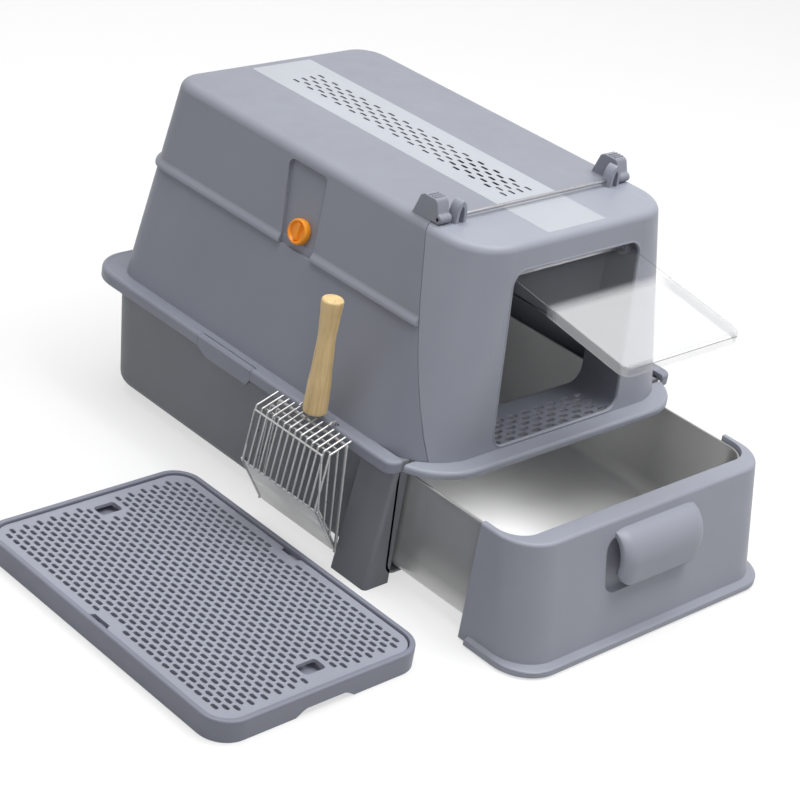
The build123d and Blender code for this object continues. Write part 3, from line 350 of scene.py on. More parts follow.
def carve(piece: Solid, tool: Solid, how: Cut = Cut.AWAY, sharp: float = CRISP) -> None:
    """Cut a piece with a tool, and drop the tool.

    Args:
        piece: the piece to change.
        tool: the shape that is taken away, added or kept.
        how: what the tool does.
        sharp: angle in degrees past which an edge stays crisp.
    """
    material = piece.data.materials[0]
    cut = piece.modifiers.new("carve", "BOOLEAN")
    cut.operation = how.value
    cut.solver = "MANIFOLD"
    cut.object = tool
    before = len(piece.data.polygons)
    bake(piece)
    if len(piece.data.polygons) == 0:
        raise RuntimeError(f"{piece.name} lost all of its {before} faces when it was cut")
    dress(piece, material)
    crisp(piece, sharp)
    bpy.data.objects.remove(tool)


def dress(piece: Solid, material: Finish) -> None:
    """Give a whole piece one finish.

    Args:
        piece: the piece.
        material: its finish.
    """
    piece.data.materials.clear()
    piece.data.materials.append(material)
    for face in piece.data.polygons:
        face.material_index = 0


def merge(piece: Solid, parts: Sequence[Solid]) -> None:
    """Take the meshes of more objects into a piece, and drop those objects.

    Args:
        piece: the object that stays.
        parts: the objects whose faces it takes over.
    """
    work = bmesh.new()
    work.from_mesh(piece.data)
    for part in parts:
        work.from_mesh(part.data)
        bpy.data.objects.remove(part)
    work.to_mesh(piece.data)
    work.free()
    dress(piece, piece.data.materials[0])


def rounded(piece: Solid, width: float, steps: int = 2) -> None:
    """Round a piece's sharp edges.

    Args:
        piece: the piece to change.
        width: width of the rounding in millimetres.
        steps: parts in the rounding.
    """
    bevel = piece.modifiers.new("edges", "BEVEL")
    bevel.width = width * MM
    bevel.segments = steps
    bevel.limit_method = "ANGLE"
    bevel.angle_limit = math.radians(35)
    bake(piece)
    crisp(piece, SOFT)


def even(piece: Solid) -> None:
    """Let flat faces keep their own shading where they meet rounded ones.

    Args:
        piece: the object.
    """
    normals = piece.modifiers.new("even_shading", "WEIGHTED_NORMAL")
    normals.keep_sharp = True
    bake(piece)


# ---------------------------------------------------------------- repeats
def add_node(tree: bpy.types.NodeTree, kind: str, **values: object) -> bpy.types.Node:
    """Add a node and set its properties or sockets by name.

    Args:
        tree: the tree that gets the node.
        kind: the node's type.
        values: properties or socket names with their values.
    Returns:
        The node.
    """
    made = tree.nodes.new(kind)
    for key, value in values.items():
        if hasattr(made, key):
            setattr(made, key, value)
        else:
            made.inputs[key.replace("_", " ")].default_value = value
    return made


class Repeater:
    """Geometry Nodes tree that sets copies of one piece on a cloud of points."""

    def __init__(self) -> None:
        """Build the tree once."""
        tree = bpy.data.node_groups.new("copies_on_points", "GeometryNodeTree")
        face = tree.interface
        for name, kind in (("Points", "Geometry"), ("Piece", "Object"), ("Size", "Vector"),
                           ("Size Variation", "Float"), ("Finish", "Material")):
            face.new_socket(name, in_out="INPUT", socket_type=f"NodeSocket{kind}")
        face.new_socket("Copies", in_out="OUTPUT", socket_type="NodeSocketGeometry")
        inlet = add_node(tree, "NodeGroupInput")
        outlet = add_node(tree, "NodeGroupOutput")
        info = add_node(tree, "GeometryNodeObjectInfo", transform_space="ORIGINAL", As_Instance=True)
        vary = add_node(tree, "FunctionNodeRandomValue", data_type="FLOAT", Seed=7)
        vary.inputs[3].default_value = 1.0
        spread = add_node(tree, "ShaderNodeMath", operation="SUBTRACT")
        spread.inputs[0].default_value = 1.0
        scale = add_node(tree, "ShaderNodeVectorMath", operation="SCALE")
        place = add_node(tree, "GeometryNodeInstanceOnPoints")
        real = add_node(tree, "GeometryNodeRealizeInstances")
        dress = add_node(tree, "GeometryNodeSetMaterial")
        for start, outgoing, end, incoming in (
                (inlet, "Points", place, "Points"), (inlet, "Piece", info, "Object"),
                (info, "Geometry", place, "Instance"), (inlet, "Size Variation", spread, 1),
                (spread, 0, vary, 2), (inlet, "Size", scale, 0), (vary, 1, scale, "Scale"),
                (scale, 0, place, "Scale"), (place, "Instances", real, "Geometry"),
                (real, "Geometry", dress, "Geometry"), (inlet, "Finish", dress, "Material"),
                (dress, "Geometry", outlet, "Copies")):
            tree.links.new(start.outputs[outgoing], end.inputs[incoming])
        self.tree = tree
        self.keys = {item.name: item.identifier for item in face.items_tree if item.in_out == "INPUT"}

    def copies(self, name: str, piece: Solid, places: Sequence[Point],
               sharp: float = CRISP) -> Solid:
        """Set a copy of a piece on each place.

        Args:
            name: name of the finished object.
            piece: the piece to repeat, which is dropped afterwards.
            places: where the copies go, in millimetres.
            sharp: angle in degrees past which an edge stays crisp.
        Returns:
            One object with every copy in its mesh.
        """
        mesh = bpy.data.meshes.new(name)
        mesh.from_pydata([tuple(value * MM for value in place) for place in places], [], [])
        made = new_object(name, mesh)
        stack = made.modifiers.new("copies", "NODES")
        stack.node_group = self.tree
        for key, value in (("Piece", piece), ("Size", (1.0, 1.0, 1.0)), ("Size Variation", 0.0),
                           ("Finish", piece.data.materials[0])):
            stack[self.keys[key]] = value
        bake(made)
        crisp(made, sharp)
        bpy.data.objects.remove(piece)
        return made


# ---------------------------------------------------------------- finishes
class Maker:
    """Short hand for building a material's nodes."""

    def __init__(self, name: str) -> None:
        """Start a material with its shader and output.

        Args:
            name: the material's name.
        """
        self.material = bpy.data.materials.new(name)
        self.material.use_nodes = True
        self.tree = self.material.node_tree
        self.shader = self.tree.nodes["Principled BSDF"]
        self.place = self.tree.nodes.new("ShaderNodeTexCoord").outputs["Object"]

    def node(self, kind: str, **values: object) -> bpy.types.Node:
        """Add a node with its properties or sockets set by name."""
        return add_node(self.tree, kind, **values)

    def link(self, start: Socket, end: Socket) -> None:
        """Join two sockets."""
        self.tree.links.new(start, end)

    def stretched(self, scale: Point) -> Socket:
        """Stretch the object's coordinates.

        Args:
            scale: the factor for each axis.
        Returns:
            The coordinates' socket.
        """
        mapping = self.node("ShaderNodeMapping", Scale=scale)
        self.link(self.place, mapping.inputs["Vector"])
        return mapping.outputs["Vector"]

    def noise(self, source: Socket, scale: float, detail: float = 3.0) -> Socket:
        """Give a cloudy pattern on a coordinate.

        Args:
            source: the coordinate.
            scale: how fine the pattern is, per metre.
            detail: how many finer layers it has.
        Returns:
            The pattern's value socket.
        """
        made = self.node("ShaderNodeTexNoise", Scale=scale, Detail=detail)
        self.link(source, made.inputs["Vector"])
        return made.outputs["Fac"]

    def ramp(self, source: Socket, stops: Sequence[tuple[float, Color]]) -> Socket:
        """Colour a value.

        Args:
            source: the value.
            stops: positions with their colours.
        Returns:
            The colour socket.
        """
        made = self.node("ShaderNodeValToRGB")
        bar = made.color_ramp
        while len(bar.elements) < len(stops):
            bar.elements.new(0.5)
        for element, (position, color) in zip(bar.elements, stops):
            element.position = position
            element.color = (*color, 1.0)
        self.link(source, made.inputs["Fac"])
        return made.outputs["Color"]

    def mapped(self, source: Socket, old: Flat, new: Flat) -> Socket:
        """Map a value from one range onto another.

        Args:
            source: the value.
            old: the range that it has.
            new: the range that it gets.
        Returns:
            The new value's socket.
        """
        made = self.node("ShaderNodeMapRange", From_Min=old[0], From_Max=old[1], To_Min=new[0], To_Max=new[1])
        self.link(source, made.inputs["Value"])
        return made.outputs["Result"]

    def fade(self, axis: str, span: Flat, levels: Flat) -> Socket:
        """Change a number along one axis of the object.

        Args:
            axis: "X", "Y" or "Z".
            span: where it starts and ends, in metres.
            levels: its values there.
        Returns:
            The number's socket.
        """
        along = self.node("ShaderNodeSeparateXYZ")
        self.link(self.place, along.inputs[0])
        return self.mapped(along.outputs[axis], span, levels)

    def reckon(self, operation: str, *terms: Union[Socket, float]) -> Socket:
        """Work a value out from others.

        Args:
            operation: what is done with them.
            terms: sockets or plain numbers, in the order that the operation takes them.
        Returns:
            The result's socket.
        """
        made = self.node("ShaderNodeMath", operation=operation)
        for inlet, term in zip(made.inputs, terms):
            if isinstance(term, float):
                inlet.default_value = term
            else:
                self.link(term, inlet)
        return made.outputs[0]

    def cloudy(self, color: Color, size: float, low: float, high: float) -> Socket:
        """Give a colour whose brightness changes softly between two shares over the object."""
        stops = [(CALM[0], tint(color, low)), (CALM[1], tint(color, high))]
        return self.ramp(self.noise(self.place, size, 2.0), stops)

    def surface(self, color: Socket, pattern: Socket, roughness: Flat) -> None:
        """Lead a colour, and a roughness that follows a pattern, to the shader."""
        self.link(color, self.shader.inputs["Base Color"])
        self.link(self.mapped(pattern, CALM, roughness), self.shader.inputs["Roughness"])

    def relief(self, source: Socket, depth: float, edge: float = 0.0) -> None:
        """Give the surface a fine relief and softly rounded edges.

        Args:
            source: the relief's pattern.
            depth: its depth in millimetres.
            edge: radius of the rounded edges in millimetres.
        """
        bump = self.node("ShaderNodeBump", Strength=1.0, Distance=depth * MM)
        self.link(source, bump.inputs["Height"])
        if edge > 0:
            soft = self.node("ShaderNodeBevel", samples=4, Radius=edge * MM)
            self.link(soft.outputs["Normal"], bump.inputs["Normal"])
        self.link(bump.outputs["Normal"], self.shader.inputs["Normal"])

    def uniform(self, **values: object) -> None:
        """Set plain values on the shader's own sockets."""
        for key, value in values.items():
            self.shader.inputs[key.replace("_", " ")].default_value = value


def tint(color: Color, share: float) -> Color:
    """Brighten or darken a colour by a share."""
    return tuple(min(1.0, channel * share) for channel in color)


@dataclass(frozen=True)
class MouldedPlastic:
    """Moulded plastic with a fine spark texture and faint cloudiness."""

    name: str
    color: Color
    roughness: float = 0.42
    grain: float = 0.02
    edge: float = 1.2
    coat: float = 0.0
    specular: float = 0.4
    clouds: Flat = (9.0, 0.035)
    spark: float = 1400.0
    wear: float = 45.0

    def build(self) -> Finish:
        """Build the material.

        Returns:
            The material.
        """
        maker = Maker(self.name)
        size, share = self.clouds
        wear = maker.noise(maker.place, self.wear, 4.0)
        maker.surface(maker.cloudy(self.color, size, 1.0 - share, 1.0 + share), wear,
                      (self.roughness - 0.04, self.roughness + 0.05))
        maker.relief(maker.noise(maker.place, self.spark, 2.0), self.grain, self.edge)
        maker.uniform(Specular_IOR_Level=self.specular, Coat_Weight=self.coat, Coat_Roughness=0.2)
        return maker.material


@dataclass(frozen=True)
class DrawnSteel:
    """Stainless sheet or wire with fine draw lines, optionally darkened by painted shade above a height and
    towards the front.
    """

    name: str
    color: Color
    roughness: float = 0.28
    lines: Point = (900.0, 40.0, 900.0)
    depth: float = 0.004
    metallic: float = 1.0
    vary: float = 0.06
    cloud: Flat = (14.0, 0.04)
    # painted shade: (z low, z high, y back, y front, level) darkens the colour above a height and towards the
    # front, standing in for the dark surroundings that the steel reflects
    painted_shade: tuple[float, ...] = ()

    def build(self) -> Finish:
        """Build the material.

        Returns:
            The material.
        """
        maker = Maker(self.name)
        drawn = maker.noise(maker.stretched(self.lines), 1.0, 3.0)
        size, share = self.cloud
        shade = maker.cloudy(self.color, size, 1.0 - share, 1.0 + share)
        # painted shade: the colour is multiplied by level where both fades are full
        if self.painted_shade:
            low, high, back, front, level = self.painted_shade
            painted_shade_mask = maker.reckon("MULTIPLY", maker.fade("Z", (low, high), (0.0, 1.0)),
                                maker.fade("Y", (back, front), (0.0, 1.0)))
            painted_shade_mix = maker.node("ShaderNodeMix", data_type="RGBA", blend_type="MULTIPLY",
                              B=(level, level, level, 1.0))
            maker.link(painted_shade_mask, painted_shade_mix.inputs["Factor"])
            maker.link(shade, painted_shade_mix.inputs["A"])
            shade = painted_shade_mix.outputs["Result"]
        maker.surface(shade, drawn, (self.roughness - self.vary, self.roughness + self.vary))
        maker.relief(drawn, self.depth)
        maker.uniform(Metallic=self.metallic)
        return maker.material


@dataclass(frozen=True)
class ClearPlastic:
    """Clear moulded sheet with a faint flow texture, mistier towards its free end."""

    name: str
    color: Color
    roughness: float = 0.05
    alpha: Flat = (0.02, 0.42)
    mist: Flat = (-0.292, -0.31)
    tip: Flat = (-0.405, -0.4085)
    tip_share: Flat = (1.0, 0.3)

    def build(self) -> Finish:
        """Build the material.

        Returns:
            The material.
        """
        maker = Maker(self.name)
        flow = maker.noise(maker.place, 30.0, 2.0)
        maker.surface(maker.cloudy(self.color, 12.0, 0.985, 1.0), flow,
                      (self.roughness - 0.02, self.roughness + 0.03))
        maker.relief(flow, 0.02)
        thin = maker.reckon("MULTIPLY", maker.fade("Y", self.mist, self.alpha),
                            maker.fade("Y", self.tip, self.tip_share))
        maker.link(thin, maker.shader.inputs["Alpha"])
        maker.uniform(IOR=1.46, Specular_IOR_Level=0.5)
        return maker.material


@dataclass(frozen=True)
class TurnedBamboo:
    """Bamboo with long fibres and darker growth bands."""

    name: str
    pale: Color
    deep: Color

    def build(self) -> Finish:
        """Build the material.

        Returns:
            The material.
        """
        maker = Maker(self.name)
        fibres = maker.noise(maker.stretched((420.0, 420.0, 16.0)), 1.0, 5.0)
        broad = maker.noise(maker.stretched((60.0, 60.0, 9.0)), 1.0, 3.0)
        mix = maker.reckon("MULTIPLY_ADD", fibres, 0.55, maker.reckon("MULTIPLY", broad, 0.45))
        shade = maker.ramp(mix, [(0.36, self.deep), (0.5, self.pale), (0.68, tint(self.pale, 1.12))])
        maker.surface(shade, fibres, (0.38, 0.52))
        maker.relief(fibres, 0.03)
        return maker.material


class Finishes:
    """Every finish of the litter box, built once."""

    def __init__(self) -> None:
        """Build the materials."""
        named = {
            # wall, lid, frame and drawer are one grey-blue plastic; the frame's and drawer's lighter copies
            # are painted light on the front-facing parts
            "wall": MouldedPlastic("grey_blue_wall_plastic", (0.245, 0.26, 0.312)),
            "lid": MouldedPlastic("grey_blue_lid_plastic", (0.25, 0.263, 0.31)),
            "frame": MouldedPlastic("grey_blue_frame_plastic_lit", (0.315, 0.332, 0.39)),
            "drawer": MouldedPlastic("grey_blue_drawer_plastic_lit", (0.315, 0.33, 0.388)),
            "tub": MouldedPlastic("charcoal_tub_plastic", (0.21, 0.218, 0.245), 0.5),
            # painted shade: the sleeve is the frame's grey-blue plastic, darkened to paint the shade inside
            # the entrance; the lock cams share it
            "sleeve": MouldedPlastic("grey_blue_sleeve_plastic_shaded", (0.19, 0.20, 0.24), 0.48),
            "strip": MouldedPlastic("pale_strip_plastic", (0.43, 0.45, 0.49), 0.42, grain=0.004, edge=0.0),
            "pad": MouldedPlastic("vent_pad", (0.25, 0.26, 0.28), 0.8, grain=0.3, edge=0.0),
            "knob": MouldedPlastic("orange_knob_plastic", (1.0, 0.34, 0.015), 0.35, coat=0.1),
            "tray": MouldedPlastic("grey_tray_plastic", (0.225, 0.235, 0.29), 0.45),
            "grate": MouldedPlastic("grey_grate_plastic", (0.32, 0.335, 0.395), 0.45, edge=0.5),
            # painted shade: an opaque dark grey for the clear flap's thin side faces, standing in for the dark
            # lines that refraction draws along a clear sheet's edges
            "edge": MouldedPlastic("flap_edge_painted_dark", (0.2, 0.205, 0.21), 0.2, edge=0.0),
            "rubber": MouldedPlastic("pad_rubber", (0.03, 0.03, 0.032), 0.85, grain=0.06, specular=0.2),
            # the pan's walls get painted shade above the floor and towards the front, for the dark inside that
            # they reflect
            "pan": DrawnSteel("pan_steel", (0.72, 0.72, 0.715), 0.28, (1500.0, 300.0, 1500.0), 0.00003, 0.4,
                              vary=0.004, cloud=(5.0, 0.09), painted_shade=(0.022, 0.045, -0.19, -0.27, 0.5)),
            "wire": DrawnSteel("wire_steel", (0.50, 0.50, 0.50), 0.32, (90.0, 20.0, 90.0), 0.0005, 0.7),
            "rod": DrawnSteel("rod_steel", (0.42, 0.42, 0.44), 0.3, (40.0, 900.0, 900.0), 0.002),
            "clear": ClearPlastic("clear_flap_plastic", (0.74, 0.75, 0.76)),
            "bamboo": TurnedBamboo("turned_bamboo", (0.76, 0.56, 0.28), (0.60, 0.41, 0.17)),
        }
        self.made = {key: finish.build() for key, finish in named.items()}

    def __getitem__(self, key: str) -> Finish:
        """Look a finish up by its short name."""
        return self.made[key]


# ---------------------------------------------------------------- sub-assemblies
@dataclass
class Workshop:
    """What every sub-assembly needs: finishes, the repeater and the list of finished pieces."""

    finishes: Finishes
    repeater: Repeater
    done: list[str] = field(default_factory=list)

    def mount(self, piece: Solid, body: str, slot: str, *replaces: str) -> None:
        """Set a finished piece on its body and report it.

        Args:
            piece: the finished object.
            body: the body it moves with.
            slot: not used.
            replaces: the plain solids that it stands for.
        """
        even(piece)
        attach(piece, body)
        if replaces:
            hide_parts(*replaces)
        self.done.append(piece.name)
        log.info("%s: %d faces on %s", piece.name, len(piece.data.polygons), body)

    def dress_solid(self, node: str, finish: str) -> None:
        """Give a plain solid that stays a finish.

        Args:
            node: the solid's name.
            finish: the finish's short name.
        """
        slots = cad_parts[node].data.materials
        slots.clear()
        slots.append(self.finishes[finish])


@dataclass
class SubAssembly:
    """Pieces that are made together, most of them in one main finish."""

    shop: Workshop
    main: ClassVar[str] = "wall"

    def make(self, form: Form, name: str, sharp: float = CRISP, finish: str = "") -> Solid:
        """Finish a form as a piece, in the main finish where none is named."""
        return form.piece(name, self.shop.finishes[finish or self.main], sharp)

    def cut(self, piece: Solid, tool: Form, sharp: float = CRISP, how: Cut = Cut.AWAY) -> None:
        """Carve a piece with a form, or add the form to it."""
        carve(piece, self.make(tool, "tool"), how, sharp)

    def repeat(self, form: Form, name: str, places: Sequence[Point], sharp: float = CRISP) -> Solid:
        """Set a copy of a form on each place, as one object."""
        return self.shop.repeater.copies(name, self.make(form, "one", sharp), places, sharp)


@dataclass
class Housing:
    """Outline that the middle shell, the lid and the front frame share."""

    wall: float = 3.0
    deck_z: float = 160.0
    ridge_z: float = 289.5
    roof_z: float = 388.3
    low_z: float = 154.5
    deck: Four = (210.0, -266.5, 256.0, 76.0)
    roof: Four = (154.3, -246.9, 263.5, 52.0)
    back_corner: float = 36.0
    roof_edge: float = 9.0
    seam_deck_y: float = -250.0
    seam_roof_y: float = -166.0
    door: Four = (100.0, 156.5, 358.0, 17.0)
    rod: Point = (148.0, -174.0, 394.0)
    strip_half: float = 45.5
    strip_t: float = 1.2
    strip_rise: float = 0.25

    def share(self, z: float) -> float:
        """Share of the way from deck to roof at a height."""
        return (z - self.deck_z) / (self.roof_z - self.deck_z)

    def half_width(self, z: float) -> float:
        """Half width of the outline at a height."""
        return blend(self.deck[0], self.roof[0], self.share(z))

    def front_y(self, z: float) -> float:
        """Y of the front wall at a height."""
        return blend(self.deck[1], self.roof[1], self.share(z))

    def seam_y(self, z: float) -> float:
        """Y of the slanted front seam at a height."""
        return blend(self.seam_deck_y, self.seam_roof_y, self.share(z))

    def seam_normal(self) -> Vector:
        """Direction across the seam, pointing backwards."""
        lean = (self.seam_roof_y - self.seam_deck_y) / (self.roof_z - self.deck_z)
        return Vector((0.0, 1.0, -lean)).normalized()

    def section(self, inset: float, z: float) -> list[Point]:
        """Outline at a height, drawn in by inset.

        Args:
            inset: how far the outline is drawn in.
            z: height in millimetres.
        Returns:
            The outline's points.
        """
        half, front, back, corner = (blend(low, high, self.share(z))
                                     for low, high in zip(self.deck, self.roof))
        return at_height(outline(half - inset, front + inset, back - inset, corner - inset,
                                 self.back_corner - inset), z)

    def sections(self, profile: Iterable[Flat]) -> list[list[Point]]:
        """Outlines for a row of (inset, height) pairs."""
        return [self.section(inset, z) for inset, z in profile]

    def shell(self, low_z: float) -> Form:
        """Walls and roof above a height, as one closed form.

        Args:
            low_z: where the walls start.
        Returns:
            The form.
        """
        radius, top, wall = self.roof_edge, self.roof_z, self.wall
        outside = self.sections([(0.0, low_z), *shoulder(radius, top, 8), (radius + 2, top)])
        inner = shoulder(radius - wall, top - wall, 5, wall)
        inside = self.sections([(radius + 2, top - wall), *reversed(inner), (wall, low_z)])
        form = Form().rings(outside, caps=False).rings(inside, caps=False)
        form.rings([outside[0], inside[-1]], caps=False)
        for ring in (outside[-1], inside[0]):
            form.bm.faces.new([form.bm.verts.new(point) for point in ring])
        bmesh.ops.remove_doubles(form.bm, verts=form.bm.verts[:], dist=1e-4)
        return form

    def band(self, profile: Sequence[Flat]) -> Form:
        """Run a closed profile of (inset, height) points round the outline."""
        return Form().rings(self.sections(profile), loop=True)

    def trim_seam(self, form: Form, gap: float = 0.0, front: bool = False) -> None:
        """Cut a form off at the slanted front seam.

        Args:
            form: the form.
            gap: how far behind the seam the cut runs.
            front: whether the part in front of it stays, not the part behind it.
        """
        normal = self.seam_normal()
        point = Vector((0.0, self.seam_roof_y, self.roof_z)) + normal * gap
        form.trim(tuple(point), tuple(normal if front else -normal))

    def strip(self, front: float, back: float, corners: Flat, top_corners: Flat) -> Form:
        """Make a pale strip that lies in the roof.

        Args:
            front: its front end.
            back: its back end.
            corners: radii of its front and back corners.
            top_corners: the radii at its top.
        Returns:
            The form.
        """
        top, soft = self.roof_z + self.strip_rise, 0.5
        rings = []
        for z, inset, radii in ((self.roof_z - self.strip_t, 0.0, corners), (top - soft, 0.0, corners),
                                (top, soft, top_corners)):
            rings.append(at_height(outline(self.strip_half - inset, front + inset, back - inset, *radii,
                                           steps=3, guard=0.4), z))
        return Form().rings(rings)

    def wall_frame(self, y: float, z: float, sign: float, depth: float = 0.0) -> Matrix:
        """Frame on a side wall: local X along the wall, Y up it, Z out of it.

        Args:
            y: where along the wall.
            z: height of the frame's origin.
            sign: 1 for the right wall, -1 for the left one.
            depth: how far the frame lies inside the wall's face.
        Returns:
            The frame as a matrix in millimetres.
        """
        lean = (self.deck[0] - self.roof[0]) / (self.roof_z - self.deck_z)
        out = Vector((sign, 0.0, lean)).normalized()
        along = Vector((0.0, sign, 0.0))
        up = out.cross(along)
        origin = Vector((sign * self.half_width(z), y, z)) - out * depth
        at = Matrix((along, up, out)).transposed().to_4x4()
        at.translation = origin
        return at


def slot_tool(size: Flat, low: float, high: float, across: bool = False, taper: float = 0.0) -> Form:
    """Make a cutter for one round-ended slot, at the origin.

    Args:
        size: width and length of the slot.
        low: lower end of the cutter.
        high: upper end of the cutter.
        across: whether the slot's length runs along X.
        taper: how much wider the cutter is at its upper end.
    Returns:
        The cutter's form.
    """
    rings = []
    for z, grow in ((low, 0.0), (high, taper)):
        radius, reach = size[0] / 2 + grow, size[1] / 2 + grow
        ring = outline(radius, -reach, reach, radius * 0.98, radius * 0.98, steps=3, guard=0.01)
        rings.append([(y, x, z) if across else (x, y, z) for x, y in ring])
    return Form().rings(rings)


def on_x(point: Point) -> Matrix:
    """Set up a frame whose own Z axis runs along X.

    Args:
        point: its origin.
    Returns:
        The frame.
    """
    turn = Matrix.Rotation(math.radians(90), 4, "Y")
    turn.translation = Vector(point)
    return turn


@dataclass
class Lid(SubAssembly):
    """Lift-up lid with its bead, side pockets, vent, strip, ears and lock knobs."""

    housing: Housing
    main: ClassVar[str] = "lid"
    gap: float = 0.6
    bead_out: float = 4.0
    pocket_depth: float = 4.5
    pocket_top: float = 377.0
    pocket_low: Flat = (-33.0, 19.0)
    pocket_high: Flat = (-18.0, 44.0)
    pocket_corner: float = 7.0
    strip_back: float = 248.0
    vent_rows: int = 7
    vent_columns: int = 15
    vent_pitch: Flat = (6.45, 24.5)
    vent_front: float = -144.95
    vent_slot: Flat = (4.1, 10.4)
    open_span: Flat = (-122.0, -55.0)
    knob: Point = (14.5, 9.0, -2.0)
    knob_z: float = 310.6
    knob_edge: float = 2.4
    grip_bar: tuple[Point, ...] = ((4.0, 10.4, 3.2), (0.8, 10.0, 2.7), (0.1, 9.2, 2.0))
    ear: Four = (131.0, 148.0, 414.0, -136.0)
    knuckle: float = 5.2

    def build(self) -> None:
        """Build and mount every piece of the lid."""
        for piece, slot, node in ((self.cover(), "lid_plastic", "lid_shell"),
                                  (self.strip(), "strip_plastic", "roof_strip")):
            slots = slot_tool(self.vent_slot, -8.0, 4.0)
            carve(piece, self.repeat(slots, "vent_tool", self.vent_places()))
            self.shop.mount(piece, "lid", slot, node)
        self.shop.mount(self.pad(), "lid", "strip_plastic")
        for side, sign in zip(("left", "right"), SIGNS):
            self.shop.mount(self.turn_knob(side, sign), f"knob_{side}", "knob_plastic", f"lock_knob_{side}")
            self.shop.dress_solid(f"lock_cam_{side}", "sleeve")

    def cover(self) -> Solid:
        """Make the lid's shell with bead, pockets and ears.

        Returns:
            The finished shell.
        """
        house, out, deep = self.housing, self.bead_out, self.pocket_depth
        low = house.ridge_z + self.gap
        form = house.shell(low - 12)
        house.trim_seam(form, self.gap)
        form.trim((0, 0, low), (0, 0, -1))
        bead = house.band([(1.2, low), (-out + 0.6, low), (-out, low + 0.6), (-out, low + 3.2),
                           (-out + 0.8, low + 5.2), (-1.2, low + 7.0), (0.1, low + 9.4), (1.2, low + 9.4)])
        house.trim_seam(bead, self.gap)
        cover, ring = self.make(form, "lid_cover"), self.make(bead, "bead")
        for sign in SIGNS:
            self.cut(cover, self.pocket(sign, house.wall, deep + house.wall, -0.6), how=Cut.ONTO)
            self.cut(cover, self.pocket(sign, 0.0, deep, 12.0))
            self.cut(ring, self.pocket(sign, 0.0, deep, 12.0))
        merge(cover, [ring, *(self.ear_block(sign) for sign in SIGNS)])
        return cover

    def pocket(self, sign: float, grow: float, deep: float, out: float) -> Form:
        """Make the slanted block that carves a side pocket or backs it.

        Args:
            sign: 1 for the right wall, -1 for the left one.
            grow: how much wider than the pocket it is.
            deep: how far it reaches behind the wall's face.
            out: how far it stands out of the wall's face.
        Returns:
            The block.
        """
        house = self.housing
        at = house.wall_frame(0.0, house.ridge_z, sign)
        top = (self.pocket_top - house.ridge_z) / at.to_3x3().col[1].z
        low = self.gap + 0.02 if grow else -20.0
        high = top + grow
        lean = [(end - start) / top for start, end in zip(self.pocket_low, self.pocket_high)]
        left = [self.pocket_low[0] + lean[0] * up - grow for up in (low, high)]
        right = [self.pocket_low[1] + lean[1] * up + grow for up in (low, high)]
        arc = shoulder(self.pocket_corner + grow, high, 5)
        points = [(left[0], low), (right[0], low)]
        points += [(right[1] - inset, up) for inset, up in arc]
        points += [(left[1] + inset, up) for inset, up in reversed(arc)]
        return Form().prism([(sign * y, up) for y, up in points], -deep, out,
                            lambda along, up, own: tuple(at @ Vector((along, up, own))))

    def ear_block(self, sign: float) -> Solid:
        """Make one hinge ear of the lid, with grip ribs on top.

        Args:
            sign: 1 for the right ear, -1 for the left one.
        Returns:
            The ear.
        """
        inner, outer, top, back = self.ear
        _, y, z = self.housing.rod
        knuckle = self.knuckle
        roof = self.housing.roof_z - 2.0
        front = self.housing.seam_y(roof) + 2.0
        nose = [(y + knuckle * math.cos(turn), z + knuckle * math.sin(turn))
                for turn in (math.radians(angle) for angle in range(-110, -271, -20))]
        points = [(y, z - knuckle), *nose, (y + 4.0, top - 3.0), (y + 7.0, top), (back - 14.0, top),
                  (back - 9.0, top - 3.0), (back, roof), (front, roof), (front, z - knuckle)]
        low_x, high_x = sorted((sign * inner, sign * outer))
        ear = self.make(Form().prism(points, low_x, high_x, Along.X.place), "ear")
        rounded(ear, 1.2, 3)
        rib = Form().prism([(-1.1, -1.0), (1.1, -1.0), (0.6, 1.4), (-0.6, 1.4)], low_x + 2.0, high_x - 2.0,
                           Along.X.place)
        merge(ear, [self.repeat(rib, "ear_ribs", [(0.0, y + 10.0 + 4.2 * step, top) for step in range(3)])])
        return ear

    def vent_places(self) -> list[Point]:
        """Find the middles of the vent's slots.

        Returns:
            The middles, in millimetres.
        """
        (across, along), middle = self.vent_pitch, (self.vent_rows - 1) / 2
        return [((row - middle) * across, self.vent_front + column * along, self.housing.roof_z)
                for row, column in staggered(self.vent_rows, self.vent_columns)]

    def strip(self) -> Solid:
        """Make the pale strip along the roof.

        Returns:
            The strip.
        """
        form = self.housing.strip(self.housing.seam_y(self.housing.roof_z) + self.gap, self.strip_back,
                                  (0.8, 3.0), (0.5, 2.6))
        return self.make(form, "roof_vent_strip", finish="strip")

    def pad(self) -> Solid:
        """Make the felt pads under the slots that show no depth.

        Returns:
            The pads.
        """
        roof = self.housing.roof_z - 0.9
        across, along = self.vent_pitch
        reach = self.vent_rows * across / 2 + 3
        last = self.vent_front + self.vent_columns * along
        form = Form()
        for low, high in ((self.vent_front - 10, self.open_span[0]), (self.open_span[1], last + 8)):
            form.prism(outline(reach, low, high, 3, 3, steps=3), roof - 2, roof)
        return self.make(form, "vent_pad", finish="pad")

